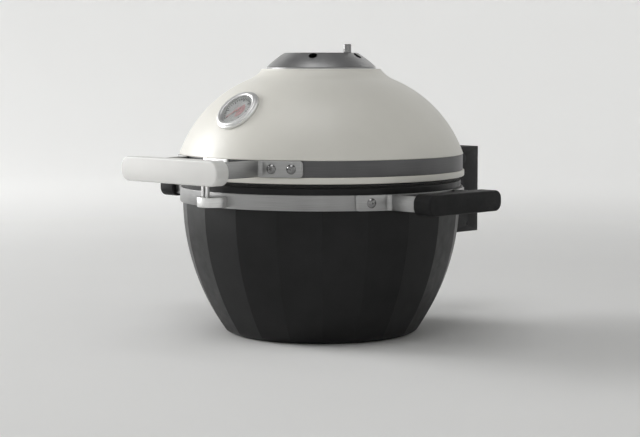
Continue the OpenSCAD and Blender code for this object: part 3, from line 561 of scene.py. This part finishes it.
# a piece on each point, turned to the point's own direction
def pieceOnPoints():
    tree, source = nodeGroup("pieceOnPoints", [("Piece", "NodeSocketObject")])
    link = tree.links.new
    info = tree.nodes.new("GeometryNodeObjectInfo")
    align = tree.nodes.new("FunctionNodeAlignRotationToVector")
    align.axis = "Z"
    place = tree.nodes.new("GeometryNodeInstanceOnPoints")
    link(source["Piece"], info.inputs["Object"])
    link(vectorAttribute(tree, "outward"), align.inputs["Vector"])
    link(source["Geometry"], place.inputs["Points"])
    link(info.outputs["Geometry"], place.inputs["Instance"])
    link(align.outputs["Rotation"], place.inputs["Rotation"])
    link(vectorAttribute(tree, "stretch"), place.inputs["Scale"])
    return endTree(tree, source, place.outputs["Instances"])


# a round wire along each run of edges
def wireOnPath():
    tree, source = nodeGroup("wireOnPath", [("Radius", "NodeSocketFloat"), ("Sides", "NodeSocketInt")])
    link = tree.links.new
    path = tree.nodes.new("GeometryNodeMeshToCurve")
    ring = tree.nodes.new("GeometryNodeCurvePrimitiveCircle")
    tube = tree.nodes.new("GeometryNodeCurveToMesh")
    tube.inputs["Fill Caps"].default_value = True
    smooth = tree.nodes.new("GeometryNodeSetShadeSmooth")
    link(source["Geometry"], path.inputs["Mesh"])
    link(source["Radius"], ring.inputs["Radius"])
    link(source["Sides"], ring.inputs["Resolution"])
    link(path.outputs["Curve"], tube.inputs["Curve"])
    link(ring.outputs["Curve"], tube.inputs["Profile Curve"])
    link(tube.outputs["Mesh"], smooth.inputs["Geometry"])
    return endTree(tree, source, smooth.outputs["Geometry"])


pointTree = pieceOnPoints()
wireTree = wireOnPath()


def runTree(obj, tree, values):
    mod = obj.modifiers.new("build", "NODES")
    mod.node_group = tree
    for item in tree.interface.items_tree:
        if item.item_type == "SOCKET" and item.in_out == "INPUT" and item.name in values:
            mod[item.identifier] = values[item.name]
    return applyModifiers(obj)


# a spot is a place, the way its piece points and how far the piece is stretched
def onPoints(name, piece, spots, mat):
    mesh = bpy.data.meshes.new(name)
    mesh.from_pydata([place for place, way, size in spots], [], [])
    outward = mesh.attributes.new("outward", "FLOAT_VECTOR", "POINT")
    stretch = mesh.attributes.new("stretch", "FLOAT_VECTOR", "POINT")
    for i, (place, way, size) in enumerate(spots):
        outward.data[i].vector = way
        stretch.data[i].vector = size
    return runTree(newObject(name, mesh), pointTree, {"Piece": piece, "Finish": mat})


def wires(name, runs, radius, sides, mat):
    points, edges = [], []
    for run in runs:
        start = len(points)
        closed = (run[0] - run[-1]).length < meshing["same"]
        run = run[:-1] if closed else run
        points += run
        edges += [(start + i, start + i + 1) for i in range(len(run) - 1)]
        if closed:
            edges.append((start + len(run) - 1, start))
    mesh = bpy.data.meshes.new(name)
    mesh.from_pydata(points, edges, [])
    return runTree(newObject(name, mesh), wireTree, {"Radius": radius, "Sides": sides, "Finish": mat})


# Lid: an arc for the dome, a hollow neck up to the vent's flange, and a seat cut for the thermometer
lid = {"rim": 0.148, "low": 0.1665, "lipTop": 0.173, "bandTop": 0.1895, "lip": 0.1515, "edge": 0.1503,
       "curve": 0.130, "lean": 19, "flange": 0.0635, "neckRise": 0.0066, "hollow": 0.034, "wall": 0.016,
       "chimney": 0.046, "bandGap": 0.0001, "lipEase": 0.0014, "edgeEase": 0.0008,
       "aboveEdge": (0.0003, 0.004), "arcFrom": 0.5, "flangeEase": 0.0012, "flangeMid": (0.0003, 0.0005),
       "chimneyEase": 0.001, "sides": 288, "domeSteps": 60, "hollowSteps": 14, "innerSteps": 40}
dial = {"angle": 44, "case": 0.0245, "seatMargin": 0.001, "clear": 0.0004, "cutDepth": 0.03, "bezel": 0.0228,
        "skirt": 0.0034, "height": 0.0055, "face": 0.0182, "floor": 0.0012, "plate": 0.0006, "glass": 0.001,
        "sink": 0.0005, "sides": 96}
domeX = lid["edge"] - lid["curve"] * math.cos(math.radians(lid["lean"]))
domeZ = lid["bandTop"] - lid["curve"] * math.sin(math.radians(lid["lean"]))
flangeTop = domeZ + math.sqrt(lid["curve"] ** 2 - (lid["flange"] - domeX) ** 2) + lid["neckRise"]
dialTilt = math.radians(dial["angle"])
seatReach = math.sqrt(lid["curve"] ** 2 - (dial["case"] + dial["seatMargin"]) ** 2)  # from the dome's centre
dialSeat = Vector((0, -(domeX + seatReach * math.cos(dialTilt)), domeZ + seatReach * math.sin(dialTilt)))
dialPlace = Matrix.Translation(dialSeat) @ Matrix.Rotation(math.radians(90) - dialTilt, 4, "X")


# centre of the neck's arc, which touches the dome and ends at the flange's corner
def neckCentre(centre, corner):
    way = corner - centre
    reach, span = lid["curve"] + lid["hollow"], way.length
    along = (reach ** 2 - lid["hollow"] ** 2 + span ** 2) / (2 * span)
    aside = math.sqrt(reach ** 2 - along ** 2)
    return centre + way.normalized() * along + Vector((way.y, -way.x)).normalized() * aside


def lidOutline():
    centre = Vector((domeX, domeZ))
    corner = Vector((lid["flange"], flangeTop - lid["flangeEase"]))
    neck = neckCentre(centre, corner)
    meet = centre + (neck - centre).normalized() * lid["curve"]
    inner = lid["curve"] - lid["wall"]
    innerLow = math.degrees(math.asin((lid["bandTop"] - domeZ) / inner))
    innerTop = math.degrees(math.acos((lid["chimney"] - domeX) / inner))
    innerR = domeX + inner * math.cos(math.radians(innerLow))
    edgeZ = lid["bandTop"] - lid["bandGap"]
    inset, above = lid["aboveEdge"]
    start = [(innerR, lid["low"]), (lid["lip"], lid["low"]), (lid["lip"], lid["lipTop"]),
             (lid["rim"], lid["lipTop"]), (lid["rim"], edgeZ), (lid["edge"] - lid["bandGap"], edgeZ),
             (lid["edge"] - inset, lid["bandTop"] + above)]
    start = eased(start, {1: lid["lipEase"], 2: lid["lipEase"], 5: lid["edgeEase"]})
    start.pop()  # it only steers the easing
    domeFrom, domeTo = lid["lean"] + lid["arcFrom"], angleTo(centre, meet)
    dome = arc(domeX, domeZ, lid["curve"], domeFrom, domeTo, lid["domeSteps"])
    neckFrom, neckTo = angleTo(neck, meet) % 360, angleTo(neck, corner) % 360
    hollow = arc(neck.x, neck.y, lid["hollow"], neckFrom, neckTo, lid["hollowSteps"])[1:]
    midIn, midDown = lid["flangeMid"]
    top = [(corner.x - midIn, flangeTop - midDown), (corner.x - lid["flangeEase"], flangeTop),
           (lid["chimney"] + lid["chimneyEase"], flangeTop), (lid["chimney"], flangeTop - lid["chimneyEase"])]
    return start + dome + hollow + top + arc(domeX, domeZ, inner, innerTop, innerLow, lid["innerSteps"])


def buildLid():
    obj = turned("lidShell", lidOutline(), lid["sides"])
    reach, deep = dial["case"] + dial["clear"], dial["cutDepth"]
    cutter = turned("seatCutter", [(0, 0), (reach, 0), (reach, deep), (0, deep)], dial["sides"], dialPlace)
    mod = obj.modifiers.new("seat", "BOOLEAN")
    mod.operation = "DIFFERENCE"
    mod.solver = "EXACT"
    mod.object = cutter
    applyModifiers(obj)
    dropHelper(cutter)
    stand(obj, "lid_dome", smooth=28)


buildLid()
print("lid shell made")

# Bands round the lid and the bowl
bands = {"inner": 0.1481, "outer": 0.1499, "ease": 0.0005}


def buildBand(node, mat):
    low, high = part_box(node)
    inner, outer = bands["inner"], bands["outer"]
    outline = [(inner, low.z), (outer, low.z), (outer, high.z), (inner, high.z)]
    outline = eased(outline, {1: bands["ease"], 2: bands["ease"]})
    stand(turned(node + "_dressed", outline), node, mat=mat)


# the lid band takes the darker steel with painted shade
buildBand("lid_band", lidBandPaintedShadeSteel)
buildBand("base_band", finish["band_steel"])
print("bands made")

# Bowl with flat facets; its rings share one count so the facets run into the round rim and foot
bowl = {"facets": 20, "corner": 0.1472, "arc": 0.240, "bandLow": 0.140, "rim": 0.148, "top": 0.1625,
        "wall": 0.016, "ledge": 0.006, "ledgeZ": 0.1425, "floor": 0.016, "port": 0.045, "edgeRound": 0.0016,
        "footRound": 0.012, "perCorner": 5, "portEase": 0.001, "bandGap": 0.0002, "rimEase": 0.0015,
        "rimMid": 0.0004, "ledgeEase": 0.0005, "footSteps": 6, "sideSteps": 40, "cavitySteps": 30}


def bowlRing(flat, z, rounding):
    half = math.pi / bowl["facets"]
    per = bowl["perCorner"]
    reach = (flat - rounding) / math.cos(half)
    squeeze = (per - 1) / per if rounding == flat else 1  # on a round ring the corners don't overlap
    ring = []
    for k in range(bowl["facets"]):
        middle = 2 * half * k + half
        for j in range(per):
            a = middle + half * squeeze * (2 * j / (per - 1) - 1)
            ring.append(Vector((reach * math.cos(middle) + rounding * math.cos(a),
                                reach * math.sin(middle) + rounding * math.sin(a), z)))
    return ring


def roundRing(r, z):
    return bowlRing(r, z, r)


# rings from the port's edge up the rounded foot, whose upper half turns from round to faceted
def bowlFoot(cx):
    foot, port, ease = bowl["footRound"], bowl["port"], bowl["portEase"]
    footX = cx + math.sqrt((bowl["arc"] - foot) ** 2 - (bowl["bandLow"] - foot) ** 2)
    turn = math.degrees(math.atan2(foot - bowl["bandLow"], footX - cx))
    half = bowl["footSteps"] / 2
    rings = [roundRing(port, bowl["floor"]), roundRing(port, ease), roundRing(port + ease, 0)]
    for i in range(bowl["footSteps"] + 1):
        a = math.radians(-90 + (turn + 90) * i / bowl["footSteps"])
        r = footX + foot * math.cos(a)
        faceted = max(0, (i - half) / half)
        rings.append(bowlRing(r, foot + foot * math.sin(a), r + (bowl["edgeRound"] - r) * faceted))
    return rings


def bowlRim(inner):
    rim, top, low = bowl["rim"], bowl["top"], bowl["bandLow"]
    ease, mid, ledgeZ = bowl["rimEase"], bowl["rimMid"], bowl["ledgeZ"]
    outline = [(rim - mid, low - bowl["bandGap"]), (rim, low + mid), (rim, top - ease),
               (rim - mid, top - mid), (rim - ease, top), (inner + ease, top), (inner, top - ease),
               (inner, ledgeZ), (inner - bowl["ledge"] + bowl["ledgeEase"], ledgeZ)]
    return [roundRing(r, z) for r, z in outline]


def buildBowl():
    flat = bowl["corner"] * math.cos(math.pi / bowl["facets"])
    cx = flat - bowl["arc"]

    def arcAt(radius, z):
        return cx + math.sqrt(radius ** 2 - (bowl["bandLow"] - z) ** 2)

    rings = bowlFoot(cx)
    footTop, sideTop = rings[-1][0].z, bowl["bandLow"] - bowl["bandGap"]
    for i in range(1, bowl["sideSteps"] + 1):
        z = footTop + (sideTop - footTop) * i / bowl["sideSteps"]
        rings.append(bowlRing(arcAt(bowl["arc"], z), z, bowl["edgeRound"]))
    rings += bowlRim(flat - bowl["wall"])
    cavity = bowl["arc"] - bowl["wall"] - bowl["ledge"]
    cavityTop = bowl["ledgeZ"] - bowl["ledgeEase"]
    for i in range(bowl["cavitySteps"] + 1):
        z = cavityTop + (bowl["floor"] - cavityTop) * i / bowl["cavitySteps"]
        rings.append(roundRing(arcAt(cavity, z), z))
    stand(ringMesh("bowlShell", rings), "base_bowl", smooth=12)


buildBowl()
print("bowl made")

# Grips: rounded slabs, the front one across the lid and one on each side of the bowl
grips = {"ease": 0.0018, "segments": 4, "easeAbove": 50, "cornerSteps": 10, "front": 0.011, "side": 0.0085}


def buildGrip(node, faceAxis, corner):
    low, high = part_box(node)
    mid = (low + high) / 2
    size = high - low
    length, depth = (size.x, size.y) if faceAxis == "Y" else (size.y, size.x)
    run, rise = length / 2 - corner, size.z / 2 - corner
    outline = []
    for k, (u, v) in enumerate(((1, 1), (-1, 1), (-1, -1), (1, -1))):
        outline += arc(u * run, v * rise, corner, 90 * k, 90 * k + 90, grips["cornerSteps"])

    def place(u, v, w):
        return mid + (Vector((u, w, v)) if faceAxis == "Y" else Vector((w, u, v)))

    bm = bmesh.new()
    front, back = ([bm.verts.new(place(u, v, w)) for u, v in outline] for w in (-depth / 2, depth / 2))
    bm.faces.new(front)
    bm.faces.new(list(reversed(back)))
    count = len(outline)
    for i in range(count):
        j = (i + 1) % count
        bm.faces.new((front[i], back[i], back[j], front[j]))
    bmesh.ops.recalc_face_normals(bm, faces=bm.faces)
    obj = objectFrom(node + "_dressed", bm)
    bevelled(obj, grips["ease"], grips["segments"], grips["easeAbove"])
    stand(obj, node, smooth=40)


buildGrip("front_grip", "Y", grips["front"])
buildGrip("side_grip_right", "X", grips["side"])
buildGrip("side_grip_left", "X", grips["side"])
print("grips made")

# Button-head bolts with hexagon sockets, square to the bands where the solids have theirs
bolts = {"head": 0.0049, "height": 0.0029, "socket": 0.002, "depth": 0.0016, "shank": 0.0025,
         "reach": 0.0044, "sides": 24, "crown": (0, 0.25, 0.5, 0.72, 0.88, 0.97), "flare": 1.12,
         "flareAt": 0.985, "socketAt": 0.9, "seat": 0.15242,
         "nodes": ("front_bolts", "catch_bolts", "lid_arm_bolts", "side_bolts", "housing_bolts")}


def boltPiece():
    h, r, sides = bolts["height"], bolts["head"], bolts["sides"]
    dome = (r * r + h * h) / (2 * h)
    rows = [circle(bolts["shank"], -bolts["reach"], sides), circle(bolts["shank"], 0, sides)]
    for share in bolts["crown"]:
        rows.append(circle(math.sqrt(dome ** 2 - (share * h + dome - h) ** 2), share * h, sides))
    hexagon = []
    for i in range(sides):
        a = 2 * math.pi * i / sides
        flat = bolts["socket"] * math.cos(math.pi / 6) / math.cos((a % (math.pi / 3)) - math.pi / 6)
        hexagon.append(polar(flat, a))
    socketRows = ((bolts["flare"], h * bolts["flareAt"]), (1, h * bolts["socketAt"]), (1, h - bolts["depth"]))
    for grow, z in socketRows:
        rows.append([p * grow + Vector((0, 0, z)) for p in hexagon])
    return closedRun("boltPiece", rows)


# the middle of each separate solid in a node, weighed by area
def solidMiddles(node):
    bm = openMesh(nodes[node])
    bmesh.ops.remove_doubles(bm, verts=bm.verts, dist=meshing["weld"])
    seen, middles = set(), []
    for first in bm.faces:
        if first in seen:
            continue
        seen.add(first)
        solid = [first]
        for f in solid:  # grows until the whole solid is walked
            for near in (g for e in f.edges for g in e.link_faces):
                if near not in seen:
                    seen.add(near)
                    solid.append(near)
        area = sum(f.calc_area() for f in solid)
        middles.append(sum((f.calc_center_median() * f.calc_area() for f in solid), Vector()) / area)
    bm.free()
    return middles


def boltSpots(node):
    spots = []
    for middle in solidMiddles(node):
        out = Vector((middle.x, middle.y, 0)).normalized()
        spots.append((out * bolts["seat"] + Vector((0, 0, middle.z)), out, (1, 1, 1)))
    return spots


def buildBolts():
    piece = boltPiece()
    for node in bolts["nodes"]:
        heads = onPoints(node + "_dressed", piece, boltSpots(node), finish["bolt_steel"])
        stand(heads, node, smooth=26)
    dropHelper(piece)


buildBolts()
print("bolts made")

# Thermometer: case with a rolled bezel, face with marks and a red zone, glass and needle
bezel = {"hole": 0.0026, "groove": 0.0004, "rollOut": 0.001, "rollIn": 0.0026, "lipRun": 0.0006,
         "lipFall": 0.0003, "lipDrop": 0.001, "faceGap": 0.0001, "sides": 128,
         "ease": {1: 0.0003, 2: 0.0009, 4: 0.0002, 5: 0.0003, 6: 0.0003, 7: 0.0005, 8: 0.0006, 9: 0.0005,
                  10: 0.0003, 11: 0.0003}}
face = {"top": dial["floor"] + dial["plate"], "edgeIn": 0.0008, "edgeDown": 0.0002, "post": 0.0011,
        "postRise": 0.0021}
dialMarks = {"count": 31, "from": 230, "sweep": 280, "radius": 0.0160, "long": 0.0042, "short": 0.0022,
             "longEvery": 5, "width": 0.0006, "lift": 0.00005}
redZone = {"from": 280, "to": 425, "inner": 0.003, "outer": 0.0092, "lift": 0.00001, "thick": 0.00015,
           "steps": 24}
glass = {"crown": ((1, 0.56), (0.75, 0.78), (0.5, 0.9), (0.25, 0.98), (0, 1))}
needle = {"ease": 0.0001}


def buildCase():
    r, b, k, h = dial["case"], dial["bezel"], dial["skirt"], dial["height"]
    g, wall = bezel["groove"], dial["face"] + bezel["faceGap"]
    outline = [(bezel["hole"], 0), (r, 0), (r, k), (b, k), (b, k + g), (b - g, k + 2 * g), (b, k + 3 * g),
               (b, h - g), (b - bezel["rollOut"], h), (b - bezel["rollIn"], h),
               (wall + bezel["lipRun"], h - bezel["lipFall"]), (wall, h - bezel["lipDrop"]),
               (wall, dial["floor"]), (bezel["hole"], dial["floor"])]
    obj = turned("dialCase", eased(outline, bezel["ease"]), bezel["sides"], dialPlace)
    stand(obj, "thermometer_case", smooth=35)


def buildFace():
    f, low, top = dial["face"], dial["floor"], face["top"]
    post, postTop = face["post"], dial["floor"] + face["postRise"]
    outline = [(post, low), (f, low), (f, top - face["edgeDown"]), (f - face["edgeIn"], top), (post, top),
               (post, postTop), (0, postTop), (0, low)]
    stand(turned("dialFace", outline, dial["sides"], dialPlace), "thermometer_dial", smooth=35)


def buildMarks():
    bm = bmesh.new()
    bmesh.ops.create_cube(bm, size=1)
    bar = objectFrom("markBar", bm)
    width, rise = dialMarks["width"], Vector((0, 0, face["top"] + dialMarks["lift"]))
    spots = []
    for i in range(dialMarks["count"]):
        way = polar(1, math.radians(dialMarks["from"] - dialMarks["sweep"] * i / (dialMarks["count"] - 1)))
        length = dialMarks["short"] if i % dialMarks["longEvery"] else dialMarks["long"]
        spot = dialPlace @ (way * (dialMarks["radius"] - length / 2) + rise)
        spots.append((spot, dialPlace.to_3x3() @ way, (width, width, length)))
    settle(onPoints("dialMarks", bar, spots, markPaint), "thermometer_dial", markPaint)
    dropHelper(bar)


def buildRedZone():
    low = face["top"] + redZone["lift"]
    high = low + redZone["thick"]
    inner, outer, steps = redZone["inner"], redZone["outer"], redZone["steps"]
    section = ((inner, low), (outer, low), (outer, high), (inner, high))
    rows = []
    for i in range(steps + 1):
        a = math.radians(redZone["from"] + (redZone["to"] - redZone["from"]) * i / steps)
        rows.append([dialPlace @ polar(r, a, z) for r, z in section])
    settle(closedRun("dialRed", rows), "thermometer_dial", redPaint)


def buildGlass():
    low = dial["height"] - dial["sink"] - dial["glass"]
    crown = [(dial["face"] * out, low + dial["glass"] * up) for out, up in glass["crown"]]
    outline = [(dial["face"], low)] + crown + [(0, low)]
    stand(turned("dialGlass", outline, dial["sides"], dialPlace), "thermometer_glass", smooth=40)


buildCase()
buildFace()
buildMarks()
buildRedZone()
buildGlass()
stand(copyOf("thermometer_needle", needle["ease"]), "thermometer_needle")
print("thermometer made")

# Hinge spring: a coil between two hooks, which go round the pins
spring = {"hook": 0.0038, "hookRise": 0.0046, "hookTurn": 250, "hookSteps": 20, "lead": 0.007,
          "leadOut": 0.001, "leadUp": 0.004, "coil": 0.007, "turns": 14, "perTurn": 24, "wire": 0.001,
          "sides": 10}


def pinMiddle(node):
    low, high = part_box(node)
    return Vector((0, (low.y + high.y) / 2, (low.z + high.z) / 2))


lowPin, highPin = pinMiddle("spring_anchor_pin"), pinMiddle("spring_lever_pin")


def springHook(pin, start, end):
    hook = []
    for i in range(spring["hookSteps"] + 1):
        a = math.radians(start + (end - start) * i / spring["hookSteps"])
        hook.append(pin + Vector((0, spring["hook"] * math.cos(a), spring["hookRise"] * math.sin(a))))
    return hook


def springPath():
    leadOut = spring["hook"] + spring["leadOut"]
    coilLow = lowPin.z + spring["hook"] + spring["lead"]
    coilHigh = highPin.z - spring["hook"] - spring["lead"]
    path = springHook(lowPin, -spring["hookTurn"], 0)
    path.append(lowPin + Vector((0, leadOut, spring["leadUp"])))
    count = spring["turns"] * spring["perTurn"]
    for i in range(count + 1):
        t = 2 * math.pi * i / spring["perTurn"]
        z = coilLow + (coilHigh - coilLow) * i / count
        path.append(Vector((spring["coil"] * math.sin(t), lowPin.y + spring["coil"] * math.cos(t), z)))
    path.append(highPin + Vector((0, leadOut, -spring["leadUp"])))
    return path + springHook(highPin, 0, spring["hookTurn"])


def foldSpring(obj):
    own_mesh(obj)


springWire = wires("hingeSpring", [springPath()], spring["wire"], spring["sides"], finish["spring_steel"])
foldSpring(stand(springWire, "hinge_spring", smooth=60))
print("spring made")

# Cooking grate: bars across, two cross bars under them and a round rim
grate = {"rim": 0.0025, "bar": 0.0018, "lift": 0.0014, "pitch": 0.014, "lastBar": 0.006, "crossAt": 0.5,
         "barSteps": 8, "barSides": 12, "rimSteps": 160, "rimSides": 14}


def buildGrate():
    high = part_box("cooking_grate")[1]
    r, z = high.x - grate["rim"], high.z - grate["bar"] - grate["lift"]
    shares = [k / grate["barSteps"] for k in range(-grate["barSteps"], grate["barSteps"] + 1)]
    count = int((r - grate["lastBar"]) / grate["pitch"])
    runs = []
    for x in [i * grate["pitch"] for i in range(-count, count + 1)]:
        half = math.sqrt(r * r - x * x)
        runs.append([Vector((x, half * share, z + grate["lift"])) for share in shares])
    for y in (-r * grate["crossAt"], r * grate["crossAt"]):
        half = math.sqrt(r * r - y * y)
        runs.append([Vector((half * share, y, z)) for share in shares])
    bars = wires("grateBars", runs, grate["bar"], grate["barSides"], finish["grate_steel"])
    stand(bars, "cooking_grate", smooth=50)
    ring = circle(r, z, grate["rimSteps"])
    rim = wires("grateRim", [ring + ring[:1]], grate["rim"], grate["rimSides"], finish["grate_steel"])
    settle(rim, "cooking_grate", smooth=50)


buildGrate()
print("grate made")

# Everything else keeps its solid's shape, with edges softened by these widths
softEdges = {
    "front_bracket_right": 0.0004, "front_bracket_left": 0.0004, "side_bracket_right_front": 0.0004,
    "side_bracket_right_rear": 0.0004, "side_bracket_left_front": 0.0004, "side_bracket_left_rear": 0.0004,
    "catch_tongue": 0.0004, "catch_keeper": 0.0004, "hinge_housing": 0.0006, "lid_hinge_arm": 0.0005,
    "vent_cap": 0.0004, "vent_knob": 0.0003, "vent_screw": 0.0002, "vent_base": 0.0, "vent_nut": 0.0002,
    "base_gasket": 0.0004, "lid_gasket": 0.0004, "fire_grate": 0.0006, "fire_ring": 0.001,
    "heat_deflector": 0.001, "hinge_pin": 0.0004, "hinge_pin_clip": 0.0003, "spring_anchor_pin": 0.0003,
    "spring_lever_pin": 0.0003, "thermometer_probe": 0.0002, "thermometer_nut": 0.0004,
    "front_grip_screws": 0.0003, "side_grip_screws": 0.0003,
}
# the catch tongue and keeper take the lighter steel with painted light
for name, width in softEdges.items():
    stand(copyOf(name, width), name, mat=catchPaintedLightSteel if name.startswith("catch") else None,
          smooth=24 if name.startswith("vent") else 30)
print("softened pieces:", len(softEdges))

# Floor that curves up into a round backdrop, and lights
room = {"paint": (0.86, 0.86, 0.85), "flat": 2.4, "wall": 4.4, "top": 4.2, "coveSteps": 20, "sides": 96,
        "glow": 0.3, "glowFrom": 0.5, "glowTo": 2.4, "sky": 0.2}
lamps = {
    "keyLamp": {"turn": -66, "lift": 17, "away": 3.8, "size": 1.75, "power": 106, "aim": 0.16},
    "topLamp": {"turn": 20, "lift": 72, "away": 2.2, "size": 1.4, "power": 13, "aim": 0.16},
}


# pale paint that glows a little away from the object, for camera, glossy and transmission rays alone
def floorPaint():
    s = Shader("floorPaint", room["paint"], 0.8)
    s.mottle(s.noise(s.coords, 3, 3), 0.008)
    s.set({"Specular IOR Level": 0.15, "Emission Color": (1, 1, 0.99, 1)})
    axis = s.axes()
    across = s.math("MULTIPLY", axis["X"], axis["X"])
    along = s.math("MULTIPLY", axis["Y"], axis["Y"])
    away = s.math("SQRT", s.math("ADD", across, along))
    rise = s.mapped(away, (room["glowFrom"], room["glowTo"]), (0, room["glow"]), "SMOOTHSTEP")
    ray = s.tree.nodes.new("ShaderNodeLightPath").outputs
    seen = s.math("MAXIMUM", ray["Is Camera Ray"], ray["Is Glossy Ray"])
    seen = s.math("MAXIMUM", seen, ray["Is Transmission Ray"])
    s.links.new(s.math("MULTIPLY", rise, seen), s.bsdf.inputs["Emission Strength"])
    return s.mat


def buildRoom():
    cove = room["wall"] - room["flat"]
    curve = arc(room["flat"], cove, cove, -90, 0, room["coveSteps"])
    outline = [(0, 0), (room["flat"] / 2, 0)] + curve + [(room["wall"], room["top"])]
    floor = ringMesh("floor", [circle(r, z, room["sides"]) for r, z in outline], wrap=False)
    for p in floor.data.polygons:
        p.use_smooth = True
    floor.data.materials.append(floorPaint())


def addSky():
    world = bpy.data.worlds.new("studio")
    world.use_nodes = True
    back = world.node_tree.nodes["Background"]
    back.inputs["Color"].default_value = (1, 1, 1, 1)
    back.inputs["Strength"].default_value = room["sky"]
    scene.world = world


def addLamp(name, lamp):
    data = bpy.data.lights.new(name, "AREA")
    data.energy = lamp["power"]
    data.size = lamp["size"]
    obj = bpy.data.objects.new(name, data)
    turn, lift = math.radians(lamp["turn"]), math.radians(lamp["lift"])
    way = Vector((math.sin(turn) * math.cos(lift), -math.cos(turn) * math.cos(lift), math.sin(lift)))
    away = way * lamp["away"]
    obj.location = Vector((0, 0, lamp["aim"])) + away
    obj.rotation_euler = (-away).to_track_quat("-Z", "Y").to_euler()
    scene.collection.objects.link(obj)


buildRoom()
addSky()
for lampName, lamp in lamps.items():
    addLamp(lampName, lamp)
scene.view_settings.view_transform = "Standard"
print("room lit")
